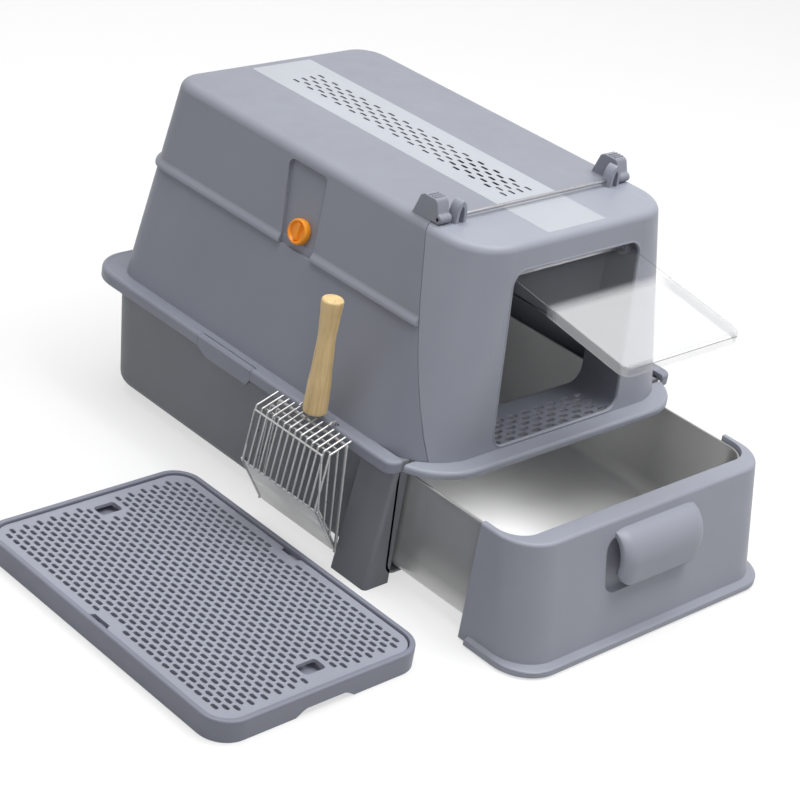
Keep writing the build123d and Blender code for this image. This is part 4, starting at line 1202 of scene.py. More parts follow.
    def turn_knob(self, side: str, sign: float) -> Solid:
        """Make one orange lock knob.

        Args:
            side: its name.
            sign: 1 for the right one, -1 for the left one.
        Returns:
            The knob.
        """
        radius, height, y = self.knob
        at = self.housing.wall_frame(y, self.knob_z, sign, self.pocket_depth)
        dish = radius * 0.76
        profile = [(0.01, 0.4), (radius - 0.8, 0.4), (radius, 1.2), (radius, height - self.knob_edge)]
        profile += [(radius - inset, z) for inset, z in shoulder(self.knob_edge, height, 5)]
        profile += [(dish + 0.6, height - 0.2), (dish, height - 1.2), (dish - 1.2, height - 3.2),
                    (0.01, height - 3.4)]
        knob = self.make(Form().turned(profile, at, 56), f"turn_knob_{side}", FULL, "knob")
        bar = []
        for down, half_l, half_w in self.grip_bar:
            ring = outline(half_w, -half_l, half_l, half_w * 0.7, half_w * 0.7, steps=4, guard=0.1)
            bar.append([tuple(at @ Vector((x, along, height - down))) for x, along in ring])
        merge(knob, [self.make(Form().rings(bar), "grip_bar", finish="knob")])
        return knob


@dataclass
class FrontFrame(SubAssembly):
    """Front wall with the entrance, its lip, roof arches, strip and hinge rod."""

    housing: Housing
    main: ClassVar[str] = "frame"
    lip: Four = (213.0, -288.3, 72.0, 154.5)
    lip_edge: float = 4.2
    lip_wall: float = 3.6
    skirt_z: float = 146.0
    rear_y: float = -243.3
    arch: Point = (112.0, 128.0, 413.0)
    arch_wall: float = 4.4
    arch_span: Flat = (-7.5, 5.2)
    rod_r: float = 2.0
    bead: tuple[Flat, ...] = ((1.6, 0.15), (0.7, -0.55), (-0.3, -0.6), (-1.0, 0.3), (-1.1, 2.6), (-0.6, 3.4),
                              (1.6, 3.2))

    def build(self) -> None:
        """Build and mount every piece of the front frame."""
        for piece, slot, node in ((self.wall(), "frame_plastic", "front_frame"),
                                  (self.strip(), "strip_plastic", "front_strip"),
                                  (self.hinge_rod(), "rod_steel", "hinge_rod")):
            self.shop.mount(piece, "enclosure", slot, node)

    def door_ring(self, grow: float) -> list[Flat]:
        """Outline of the entrance, grown by an amount, as X and Z."""
        half, low, top, corner = self.housing.door
        return outline(half + grow, low - grow, top + grow, corner + grow, corner + grow, steps=8)

    def wall(self) -> Solid:
        """Make the front wall with its lip and arches.

        Returns:
            The finished wall.
        """
        house = self.housing
        form = house.shell(house.low_z)
        house.trim_seam(form, front=True)
        wall = self.make(form, "front_wall")
        face = house.front_y(250.0)
        self.cut(wall, Form().prism(self.door_ring(0.0), face + 90, face - 60, Along.Y.place))
        merge(wall, [self.door_edge(), self.lip_band(), *(self.roof_arch(sign) for sign in SIGNS)])
        return wall

    def door_edge(self) -> Solid:
        """Make the soft bead that turns inwards round the entrance.

        Returns:
            The bead.
        """
        rings = [[(x, self.housing.front_y(z) + back, z) for x, z in self.door_ring(grow)]
                 for grow, back in self.bead]
        return self.make(Form().rings(rings, loop=True), "door_edge", ROUND)

    def lip_band(self) -> Solid:
        """Make the lip that stands out over the drawer.

        Returns:
            The lip.
        """
        half, front, corner, top = self.lip
        soft, wall, low = self.lip_edge, self.lip_wall, self.skirt_z
        house = self.housing

        def ring(inset: float, z: float) -> list[Point]:
            """Outline of the lip, drawn in by inset."""
            return at_height(outline(half - inset, front + inset, 60, corner - inset, 10, steps=14), z)

        edge = outline(house.half_width(top) - 1.5, house.front_y(top) + 1.5, 30, house.deck[3] - 1.5, 10,
                       steps=14)
        rings = [ring(*pair) for pair in ((0.0, low + 0.4), (0.0, top - soft), *shoulder(soft, top, 5))]
        rings += [at_height(edge, top), at_height(edge, top - 4.0)]
        rings += [ring(*pair) for pair in ((soft, top - 4.0), (wall, top - 4.6), (wall, low + 0.4),
                                           (3.2, low), (0.4, low))]
        form = Form().rings(rings, loop=True)
        form.trim((0, self.rear_y, 0), (0, 1, 0))
        return self.make(form, "lip_band", SOFT)

    def roof_arch(self, sign: float) -> Solid:
        """Make one hollow arch that holds the hinge rod.

        Args:
            sign: 1 for the right arch, -1 for the left one.
        Returns:
            The arch.
        """
        inner, outer, top = self.arch
        middle, half = sign * (inner + outer) / 2, (outer - inner) / 2
        low = self.housing.roof_z - 1.0
        near, far = (self.housing.rod[1] + reach for reach in self.arch_span)

        def bow(width: float, height: float) -> list[Flat]:
            """Trace a soft-shouldered arch.

            Args:
                width: half of its width.
                height: its top.
            Returns:
                Its points from one foot to the other.
            """
            points = []
            for step in range(11):
                turn = math.pi * step / 10
                out = 0.55 * math.cos(turn) + 0.45 * math.copysign(abs(math.cos(turn)) ** 2, math.cos(turn))
                points.append((middle + width * out, low + (height - low) * math.sin(turn) ** 0.55))
            return points

        outside, inside = bow(half, top), bow(half - self.arch_wall, top - 6.0)
        rings = []
        for y, shrink in ((near, 0.6), (near + 0.6, 0.0), (far - 0.6, 0.0), (far, 0.6)):
            ring = [(x + (middle - x) * shrink / half, y, z - shrink * (z > low)) for x, z in outside]
            rings.append(ring + [(x, y, z) for x, z in reversed(inside)])
        return self.make(Form().rings(rings), "roof_arch", FULL)

    def strip(self) -> Solid:
        """Make the pale strip on the front frame's roof.

        Returns:
            The strip.
        """
        house = self.housing
        form = house.strip(house.front_y(house.roof_z) + house.roof_edge, house.seam_roof_y - 0.3, (2.0, 0.8),
                           (1.6, 0.5))
        return self.make(form, "front_roof_strip", finish="strip")

    def hinge_rod(self) -> Solid:
        """Make the thin rod between the ears.

        Returns:
            The rod.
        """
        reach, y, z = self.housing.rod
        path = [(x, y, z) for x in (-reach, -reach + 0.5, reach - 0.5, reach)]
        return self.make(Form().tube(path, self.rod_r, 16), "lid_hinge_rod", finish="rod")


@dataclass
class MiddleShell(SubAssembly):
    """Leaning walls with the wide rim and the side clips."""

    housing: Housing
    main: ClassVar[str] = "wall"
    rim: Four = (227.0, 288.3, 47.0, 146.0)
    rim_front: float = -243.0
    front_corner: float = 12.0
    plate_t: float = 5.0
    skirt_t: float = 3.6
    clip: Flat = (31.0, 92.0)
    ledge: float = 9.0
    ledge_front: float = -143.0
    hook_hole: Flat = (-223.6, -218.8)
    hook_ys: Flat = (-152.5, -104.5)
    hook_half: float = 2.1

    def build(self) -> None:
        """Build and mount the shell, and dress its clips."""
        self.shop.mount(self.walls(), "enclosure", "shell_plastic", "mid_shell")
        for side in ("left", "right"):
            self.shop.dress_solid(f"side_clip_{side}", "wall")

    def walls(self) -> Solid:
        """Make the walls with ledge and rim.

        Returns:
            The finished shell.
        """
        house, reach = self.housing, self.ledge
        wall, top, low = house.wall, house.ridge_z, house.low_z + 0.3
        form = house.band([(0.0, low), (0.0, top - 0.8), (0.5, top), (wall, top), (wall, low)])
        house.trim_seam(form, 0.3)
        ledge = house.band([(2.6, top - reach), (2.6, top - 0.5), (3.6, top - 0.5), (3.6, top + reach),
                            (4.4, top + reach + 0.2), (6.0, top + reach - 1.0), (6.0, top - reach + 3)])
        house.trim_seam(ledge, 1.3)
        ledge.trim((0, self.ledge_front, 0), (0, -1, 0))
        shell = self.make(form.add(ledge), "middle_wall")
        merge(shell, [self.rim_band()])
        return shell

    def rim_band(self) -> Solid:
        """Make the rim: a plate with a soft edge and a skirt that turns down.

        Returns:
            The rim.
        """
        half, back, corner, low = self.rim
        house, plate, skirt = self.housing, self.plate_t, self.skirt_t
        top = house.deck_z

        def ring(inset: float, z: float) -> list[Point]:
            """Outline of the rim, drawn in by inset."""
            return at_height(outline(half - inset, self.rim_front + inset, back - inset,
                                     self.front_corner - inset, corner - inset, steps=14), z)

        soft = plate - 0.8
        inner = house.half_width(top) - 1.0
        edge = outline(inner, self.rim_front + 12, house.deck[2] - 1.0, 3, house.back_corner - 1.0, steps=14)
        rings = [ring(*pair) for pair in ((0.0, low + 0.6), (0.0, top - soft), *shoulder(soft, top, 6),
                                          (6.5, top), (7.2, top - 0.5), (8.6, top - 0.5), (9.3, top))]
        rings += [at_height(edge, top), at_height(edge, top - plate)]
        rings += [ring(*pair) for pair in ((skirt, top - plate), (skirt, low + 0.6), (skirt - 0.6, low),
                                           (0.6, low))]
        rim = self.make(Form().rings(rings, loop=True), "rim_band", SOFT)
        blocks = [((-inner, self.rim_front - 5, low - 5), (inner, self.rim_front + 15, top + 5))]
        middle, reach = self.clip[0], self.clip[1] / 2 + 0.3
        for sign in SIGNS:
            low_x, high_x = sorted((sign * (half - skirt - 5.0), sign * (half + 20)))
            blocks.append(((low_x, middle - reach, low - 4), (high_x, middle + reach, top + 6)))
        for y in self.hook_ys:
            blocks.append(((self.hook_hole[0], y - self.hook_half, 150),
                           (self.hook_hole[1], y + self.hook_half, top + 6)))
        for block in blocks:
            self.cut(rim, Form().box(*block), SOFT)
        return rim


@dataclass
class EntrySleeve(SubAssembly):
    """Funnel behind the entrance with the slotted step, and the clear flap on its pin; the funnel wears a
    darkened copy of the frame's plastic as painted shade.
    """

    housing: Housing
    main: ClassVar[str] = "sleeve"
    back: Point = (118.0, 153.0, -193.0)
    wall: float = 3.0
    step_rows: int = 5
    step_columns: int = 9
    step_pitch: Flat = (21.3, 9.2)
    step_first: float = -258.2
    step_slot: Flat = (5.0, 11.4)
    pin: Point = (3.0, -228.0, 342.0)
    boss: tuple[Flat, ...] = ((1.2, -4.6), (2.6, -4.6), (3.0, -4.0), (3.0, 4.0), (2.6, 4.6), (1.2, 4.6))
    flap_half: float = 92.9
    flap_length: float = 185.0
    flap_t: float = 2.6
    flap_lip: float = 12.0
    flap_corner: float = 15.0
    droop: float = 8.8
    knuckle: Point = (66.0, 26.0, 8.2)
    bore: float = 3.1

    def build(self) -> None:
        """Build and mount sleeve, pin and flap."""
        self.shop.mount(self.funnel(), "enclosure", "sleeve_plastic", "entry_sleeve")
        self.shop.mount(self.flap_pin(), "enclosure", "rod_steel", "flap_pin")
        self.shop.mount(self.flap(), "flap", "clear_plastic", "flap_door")

    def ring(self, share: float, grow: float) -> list[Point]:
        """Trace the funnel at a share of its depth.

        Args:
            share: 0 at the entrance, 1 at the back.
            grow: how much larger the outline is.
        Returns:
            The outline's points.
        """
        half, low, top, corner = self.housing.door
        back_half, back_low, back_y = self.back
        wide, floor = blend(half, back_half, share), blend(low, back_low, share)
        ring = outline(wide + grow, floor - grow, top + grow, corner + grow, corner + grow, steps=8)
        return [(x, blend(self.housing.front_y(z) + self.wall + 0.3, back_y, share), z) for x, z in ring]

    def funnel(self) -> Solid:
        """Make the funnel with its slotted floor and the pin's bosses.

        Returns:
            The finished funnel.
        """
        rings = [self.ring(share, grow) for share, grow in
                 ((0.0, self.wall), (0.5, self.wall), (0.96, self.wall), (1.0, self.wall - 0.7), (1.0, 0.7),
                  (0.97, 0.0), (0.5, 0.0), (0.0, 0.0))]
        funnel = self.make(Form().rings(rings, loop=True), "entry_funnel", SOFT)
        (across, along), middle = self.step_pitch, (self.step_columns - 1) / 2
        places = [((column - middle) * across, self.step_first + row * along, self.back[1])
                  for row, column in staggered(self.step_rows, self.step_columns)]
        slot = slot_tool(self.step_slot, -16.0, 14.0, True, 1.2)
        carve(funnel, self.repeat(slot, "step_tool", places), sharp=SOFT)
        radius, y, z = self.pin
        bosses = Form()
        for sign in SIGNS:
            bosses.turned([(radius * wide, out) for wide, out in self.boss],
                          on_x((sign * (self.flap_half + 5.2), y, z)), 32)
        merge(funnel, [self.make(bosses, "bosses")])
        return funnel

    def flap_pin(self) -> Solid:
        """Make the pin that the flap swings on.

        Returns:
            The pin.
        """
        radius, y, z = self.pin
        reach = self.housing.door[0] + 5.5
        form = Form().tube([(-reach, y, z), (reach, y, z)], radius, 20)
        return self.make(form, "flap_pin_rod", finish="rod")

    def flap(self) -> Solid:
        """Make the clear flap, modelled hanging and swung out as it is shown.

        Returns:
            The flap.
        """
        half, corner, t, lip = self.flap_half, self.flap_corner, self.flap_t, self.flap_lip
        reach, width, radius = self.knuckle
        _, pin_y, pin_z = self.pin

        def ring(inset: float, y: float) -> list[Point]:
            """Outline of the leaf, drawn in by inset, at a depth."""
            flat = outline(half - inset, inset - self.flap_length, -radius - inset, corner - inset, 3, steps=8)
            return [(x, y - radius, z) for x, z in flat]

        form = Form().rings([ring(*pair) for pair in (
            (2.4, 0.0), *bowl(1.8, 0.0, 4), (0.0, lip - 0.8), (0.8, lip), (t - 0.6, lip), (t, lip - 0.6),
            (t, t + 1.4), (t + 1.4, t), (t + 2.4, t))])
        # the leaf's thin side faces take the second finish, painted dark for the refraction lines along a
        # clear sheet's edges
        for face in form.bm.faces:
            middle = face.calc_center_median()
            side = abs(middle.x) > half - 0.6 or middle.z < 0.6 - self.flap_length
            face.material_index = int(side and 0.15 - radius < middle.y < 0.9 - radius)
        end, soft = width / 2, 0.8
        for sign in SIGNS:
            form.turned([(self.bore, -end), (radius - soft, -end), (radius, soft - end), (radius, end - soft),
                         (radius - soft, end), (self.bore, end)], on_x((sign * reach, 0.0, 0.0)), 32)
            form.box((sign * reach - end, -radius, -2 * radius), (sign * reach + end, -radius + t, 0.0))
        swing = Matrix.Rotation(math.radians(self.droop - 90), 4, "X")
        swing.translation = Vector((0.0, pin_y, pin_z))
        bmesh.ops.transform(form.bm, matrix=swing, verts=form.bm.verts[:])
        flap = self.make(form, "swing_flap", SOFT, "clear")
        # second slot: the painted dark edge finish
        flap.data.materials.append(self.shop.finishes["edge"])
        return flap


@dataclass
class Base(SubAssembly):
    """Charcoal tub with the drawer bay, its rim and the two front posts."""

    main: ClassVar[str] = "tub"
    top: Point = (207.7, 269.8, 146.0)
    low: Point = (199.6, 261.8, 11.0)
    front: float = -238.0
    top_z: float = 154.7
    corner: float = 42.0
    edge: float = 14.0
    wall: float = 3.0
    rim_out: float = 10.5
    post: Four = (192.6, 228.4, 53.0, 5.0)
    post_zs: tuple[float, ...] = (0.0, 1.2, 30.0, 70.0, 110.0, 154.7)
    runner_x: float = 120.0

    def build(self) -> None:
        """Build and mount the tub, and dress its pads."""
        self.shop.mount(self.tub(), "base", "base_plastic", "base_tub")
        self.shop.dress_solid("base_feet", "rubber")

    def half_and_back(self, z: float) -> list[float]:
        """Give the tub's half width and back at a height."""
        share = (z - self.low[2]) / (self.top[2] - self.low[2])
        return [blend(self.low[key], self.top[key], share) for key in (0, 1)]

    def section(self, inset: float, z: float) -> list[Point]:
        """Outline of the tub at a height, drawn in by inset, reaching past its open front."""
        half, back = self.half_and_back(z)
        return at_height(outline(half - inset, self.front - 80, back - inset, 20, self.corner - inset), z)

    def tub(self) -> Solid:
        """Make the tub with rim, runners and posts.

        Returns:
            The finished tub.
        """
        low, inner, wall, top, out = self.low[2], self.edge - self.wall, self.wall, self.top_z, self.rim_out
        floor = low + wall
        shell = ((self.edge + 2, low), *bowl(self.edge, low, 6), (0.0, top - 0.5), (0.5, top), (wall, top),
                 *reversed(bowl(inner, floor, 5, wall)), (wall + inner + 2, floor))
        band = ((1.5, top - wall), (-out, top - wall), (-out, top - 0.6), (0.6 - out, top), (1.5, top))
        form = Form().rings([self.section(*pair) for pair in shell])
        rim = Form().rings([self.section(*pair) for pair in band], loop=True)
        for part in (form, rim):
            part.trim((0, self.front, 0), (0, -1, 0))
        tub = self.make(form.add(rim), "charcoal_tub", SOFT)
        rib = Form().prism([(-5.0, -1.0), (5.0, -1.0), (4.4, 1.2), (-4.4, 1.2)], self.front + 2,
                           self.low[1] - self.corner, Along.Y.place)
        merge(tub, [*(self.front_post(sign) for sign in SIGNS),
                    self.repeat(rib, "runners", [(sign * self.runner_x, 0, floor) for sign in SIGNS])])
        return tub

    def front_post(self, sign: float) -> Solid:
        """Make one front post that flares out to the floor.

        Args:
            sign: 1 for the right post, -1 for the left one.
        Returns:
            The post.
        """
        inner, foot, depth, corner = self.post
        top_half = self.half_and_back(self.top_z)[0] + 0.3
        low_y, high_y = self.front, self.front + depth
        rings = []
        for z in self.post_zs:
            half = blend(foot, top_half, z / self.top_z) - (0.8 if z == 0.0 else 0.0)
            arc = [(half - inset, y) for inset, y in bowl(corner, low_y, 7)]
            ring = ((inner, high_y), (inner, low_y), *arc, (half, high_y))
            rings.append([(sign * x, y, z) for x, y in ring])
        return self.make(Form().rings(rings), "front_post", SOFT)


@dataclass
class Drawer(SubAssembly):
    """Steel pan and the drawer's front with its wings, flared foot and hooded pull."""

    main: ClassVar[str] = "drawer"
    pan: Four = (188.6, -397.0, 133.0, 137.0)
    pan_low: float = 15.5
    pan_t: float = 1.2
    pan_corner: float = 30.0
    pan_edge: float = 14.0
    roll: float = 1.8
    face: Four = (198.6, -420.0, -447.0, -353.5)
    face_top: float = 142.7
    face_low: float = 1.5
    face_corner: float = 45.0
    face_edge: float = 3.5
    inner_half: float = 190.9
    past_wings: float = -280.0
    skirt: Four = (204.6, -455.0, -367.0, 9.5)
    skirt_top: float = 12.0
    pull: Four = (64.0, 131.5, 73.0, 30.0)
    pull_t: float = 5.0
    pull_drop: float = 34.0
    pull_side: float = 16.0
    recess_shape: tuple[Flat, ...] = ((-20.0, -2.0), (0.0, 0.0), (4.0, 1.0), (7.0, 3.5), (8.4, 9.0))
    recess_corner: float = 15.0

    def build(self) -> None:
        """Build and mount pan and front."""
        self.shop.mount(self.steel_pan(), "drawer", "pan_steel", "drawer_pan")
        self.shop.mount(self.front(), "drawer", "front_plastic", "drawer_front")

    def steel_pan(self) -> Solid:
        """Make the deep-drawn pan with its rolled rim.

        Returns:
            The pan.
        """
        half, front, back, top = self.pan
        low, edge, t, roll = self.pan_low, self.pan_edge, self.pan_t, self.roll

        def ring(inset: float, z: float) -> list[Point]:
            """Outline of the pan, drawn in by inset."""
            radius = max(self.pan_corner - inset, 2.0)
            return at_height(outline(half - inset, front + inset, back - inset, radius, radius, steps=12), z)

        turns = [math.radians(-90 + 22.5 * step) for step in range(9)]
        bead = [(-0.2 - (roll - 0.4) * math.cos(turn), top - roll + roll * math.sin(turn)) for turn in turns]
        profile = ((edge + 2, low), *bowl(edge, low, 10), (0.0, top - 2 * roll), *bead, (t, top - 0.4),
                   *reversed(bowl(edge - t, low + t, 10, t)), (edge + 2, low + t))
        return self.make(Form().rings([ring(*pair) for pair in profile]), "litter_pan", FULL, "pan")

    def face_y(self, z: float) -> float:
        """Y of the leaning face at a height."""
        _, top_y, low_y, _ = self.face
        return blend(low_y, top_y, (z - self.face_low) / (self.face_top - self.face_low))

    def front(self) -> Solid:
        """Make the drawer's front.

        Returns:
            The finished front.
        """
        half, _, _, wing_y = self.face
        low, top, corner, soft = self.face_low, self.face_top, self.face_corner, self.face_edge

        def ring(inset: float, z: float) -> list[Point]:
            """Outer outline of the face, drawn in by inset."""
            return at_height(outline(half - inset, self.face_y(z) + inset, self.past_wings, corner - inset,
                                     10, steps=14), z)

        def inside(grow: float, z: float) -> list[Point]:
            """Inner outline against the pan, grown by an amount."""
            return at_height(outline(self.inner_half + grow, self.pan[1] - 0.3 - grow, self.past_wings,
                                     self.pan_corner + grow, 10, steps=14), z)

        rings = [ring(*pair) for pair in ((0.4, low), (0.0, low + 0.8), (0.0, top - soft),
                                          *shoulder(soft, top, 5))]
        rings += [inside(*pair) for pair in ((1.2, top), (0.3, top - 0.4), (0.0, top - 1.2), (0.0, low))]
        form = Form().rings(rings, loop=True)
        form.trim((0, wing_y, 0), (0, 1, 0))
        body = self.make(form, "drawer_face", SOFT)
        self.cut(body, self.recess(), SOFT)
        merge(body, [self.foot(), self.grip()])
        return body

    def foot(self) -> Solid:
        """Make the foot band of the drawer's front.

        Returns:
            The band.
        """
        skirt_half, skirt_front, skirt_back, edge = self.skirt
        low = self.face_low

        def ring(share: float, z: float) -> list[Point]:
            """Trace the foot.

            Args:
                share: 0 at the face, 1 at the foot's outer edge.
                z: the height.
            Returns:
                The outline's points.
            """
            wide = blend(self.face[0], skirt_half, share)
            front = blend(self.face_y(z) + 0.8, skirt_front, share)
            return at_height(outline(wide, front, self.past_wings, self.face_corner, 10, steps=14), z)

        form = Form().rings([ring(*pair) for pair in (
            (-0.3, low), (0.9, low), (1.0, low + 0.8), (1.0, edge - 1.6), (0.92, edge - 0.5),
            (0.7, edge + 0.1), (0.25, edge + 0.9), (-0.3, self.skirt_top))], loop=True)
        form.trim((0, skirt_back, 0), (0, 1, 0))
        return self.make(form, "flared_foot", SOFT)

    def recess(self) -> Form:
        """Make the tool for the shallow finger recess behind the pull.

        Returns:
            The tool.
        """
        half, top, low, _ = self.pull
        rings = []
        for deep, shrink in self.recess_shape:
            corner = self.recess_corner - shrink
            ring = outline(half + 12 - shrink, low - 12 + shrink, top - 8 - shrink, corner, corner, steps=6)
            rings.append([(x, self.face_y(z) + deep, z) for x, z in ring])
        return Form().rings(rings)

    def grip(self) -> Solid:
        """Make the hooded pull: it leaves the face at its top, curves out and hangs down.

        Returns:
            The pull.
        """
        half, top, low, out = self.pull
        t, drop, count = self.pull_t, self.pull_drop, 30
        root = self.face_y(top) + 4.0
        arc = quarter(12)
        rings = []
        for number in range(count + 1):
            x = half * math.sin(math.pi / 2 * (2 * number / count - 1))
            near = max(0.0, (abs(x) - (half - self.pull_side)) / self.pull_side)
            bend = 1.0 - math.sqrt(max(0.0, 1.0 - near ** 2))
            far = self.face[1] - out + 9.0 * bend
            bottom = low + 12.0 * bend
            shoulder_z = top - 2.5 * near ** 2
            ring = [(root, shoulder_z)]
            ring += [(root + (far - root) * sine, shoulder_z - drop * (1.0 - cosine)) for sine, cosine in arc]
            ring += [(far + 0.6, bottom + 6.0), (far + 2.4, bottom), (far + t + 1.2, bottom),
                     (far + t + 0.4, bottom + 6.0)]
            ring += [(root + (far + t - root) * sine, shoulder_z - t - (drop - t) * (1.0 - cosine))
                     for sine, cosine in reversed(arc)]
            rings.append([(x, y, z) for y, z in (*ring, (root, shoulder_z - t))])
        return self.make(Form().rings(rings), "hooded_pull", FULL)


@dataclass
class Scoop(SubAssembly):
    """Wire scoop with sheet mouth and bamboo grip, hung on the rim."""

    main: ClassVar[str] = "wire"
    middle_y: float = -128.5
    half: float = 63.0
    inner_x: float = -233.5
    depth: float = 37.0
    top_z: float = 161.0
    low_z: float = 26.0
    plate_z: float = 86.0
    plate_t: float = 1.0
    fold: float = 5.0
    wire: float = 1.3
    bar: float = 1.8
    count: int = 14
    bend: float = 9.0
    hook: Point = (24.0, 12.3, 152.0)
    hook_top: float = 166.4
    hook_wire: float = 1.4
    grip: tuple[float, float, float, float, float] = (167.0, 301.0, 13.4, 9.8, 12.0)

    def build(self) -> None:
        """Build and mount every piece of the scoop."""
        for piece, slot, node in ((self.cross_wires(), "wire_steel", "scoop_cross_wires"),
                                  (self.long_wires(), "wire_steel", "scoop_long_wires"),
                                  (self.frame_bar(), "wire_steel", "scoop_frame"),
                                  (self.mouth(), "wire_steel", "scoop_plate"),
                                  (self.hooks(), "wire_steel", "scoop_hooks"),
                                  (self.neck(), "wire_steel", "scoop_tang"),
                                  (self.bamboo(), "bamboo", "scoop_handle")):
            self.shop.mount(piece, "scoop", slot, node)

    def cross_wires(self) -> Solid:
        """Make the wires over the closed end and down the sifting face.

        Returns:
            The wires.
        """
        outer, top = self.inner_x - self.depth, self.top_z
        path = round_path([(self.inner_x, 0, top), (outer, 0, top), (outer, 0, self.plate_z - 1)], 10.0)
        reach = self.half - 2 * self.bar
        first = self.middle_y - self.half + 2 * self.bar
        places = [(0.0, first + 2 * reach * number / (self.count - 1), 0.0) for number in range(self.count)]
        return self.repeat(Form().tube(path, self.wire), "sifting_wires", places, ROUND)

    def long_wires(self) -> Solid:
        """Make the wires along the closed end, and the slanted side bars.

        Returns:
            The wires.
        """
        half = self.half - self.bar + self.wire
        low_y, high_y = self.middle_y - half, self.middle_y + half
        top = self.top_z - 2 * self.wire
        form = Form()
        for number in range(1, 4):
            step = (self.depth - 2 * self.wire) * number / 3
            x = self.inner_x - step
            end = blend(self.low_z, self.plate_z, step / self.depth) + 1.0
            path = [(x, low_y, end), (x, low_y, top), (x, high_y, top), (x, high_y, end)]
            form.tube(round_path(path, self.bend), self.wire)
        outer = self.inner_x - self.depth + self.wire
        for y in (low_y, high_y):
            form.tube([(self.inner_x, y, self.low_z + 1.5), (outer, y, self.plate_z + 0.5)], self.wire * 1.1)
        return self.make(form, "long_wires", ROUND)

    def frame_bar(self) -> Solid:
        """Make the heavy wire round the open side.

        Returns:
            The wire.
        """
        x, low_y, high_y = self.inner_x, self.middle_y - self.half, self.middle_y + self.half
        low, top = self.low_z, self.top_z
        path = [(x, low_y, low), (x, low_y, top), (x, high_y, top), (x, high_y, low)]
        return self.make(Form().tube(round_path(path, self.bend), self.bar, 14), "heavy_wire", ROUND)

    def mouth(self) -> Solid:
        """Make the sheet mouth with its folded side edges.

        Returns:
            The sheet.
        """
        half, t, fold, steps = self.half - self.bar - 0.2, self.plate_t, self.fold, 14
        under, over = ((0.0, fold), (1.2, 1.2), (3.0, 0.0)), ((t, fold), (1.9, 1.9), (3.4, t))
        profile = [(inset - half, lift) for inset, lift in under]
        profile += [(half - inset, lift) for inset, lift in (*reversed(under), *over)]
        profile += [(inset - half, lift) for inset, lift in reversed(over)]
        rings = []
        for share in (number / steps for number in range(steps + 1)):
            x = self.inner_x - 0.2 - (self.depth - 0.4) * share
            z = blend(self.low_z + 0.4, self.plate_z, share)
            rings.append([(x + lift * 0.85, self.middle_y + y, z + lift * 0.52) for y, lift in profile])
        return self.make(Form().rings(rings), "mouth_sheet", SOFT)

    def hooks(self) -> Solid:
        """Make the two hooks that hang the scoop on the rim.

        Returns:
            The hooks.
        """
        offset, reach, low = self.hook
        x, end, top = self.inner_x, self.inner_x + reach, self.hook_top
        path = round_path([(x, 0, self.top_z + 1.2), (x, 0, top), (end, 0, top), (end, 0, low)], 3.2)
        places = [(0.0, self.middle_y + sign * offset, 0.0) for sign in SIGNS]
        return self.repeat(Form().tube(path, self.hook_wire, 12), "rim_hooks", places, ROUND)

    def neck(self) -> Solid:
        """Make the steel neck under the grip.

        Returns:
            The neck.
        """
        at = Matrix.Translation((self.inner_x, self.middle_y, 0.0))
        low, high = self.top_z + self.bar, self.grip[0]
        profile = [(2.4, low - 1.6), (3.4, low), (3.4, high + 0.5), (2.4, high + 1.0)]
        return self.make(Form().turned(profile, at, 24), "grip_neck", ROUND)

    def bamboo(self) -> Solid:
        """Make the turned bamboo grip.

        Returns:
            The grip.
        """
        low, high, base, waist, top = self.grip
        at = Matrix.Translation((self.inner_x, self.middle_y, 0.0))
        profile = [(0.01, low), (base * 0.84, low)]
        profile += [(base * 0.84 + base * 0.16 * sine, low + 3.0 * (1 - cosine))
                    for sine, cosine in quarter(4)[1:]]
        keys = [(0.05, base), (0.22, base * 0.955), (0.42, waist + 1.2), (0.66, waist), (0.84, waist + 1.0),
                (0.96, top)]
        for (start, wide), (end, narrow) in zip(keys, keys[1:]):
            for share in (step / 8 for step in range(8)):
                soft = share * share * (3 - 2 * share)
                profile.append((blend(wide, narrow, soft), blend(low, high, blend(start, end, share))))
        profile += [(top - inset, z) for inset, z in shoulder(3.0, high, 5)]
        profile.append((0.01, high + 0.1))
        return self.make(Form().turned(profile, at, 48), "bamboo_grip", ROUND, "bamboo")


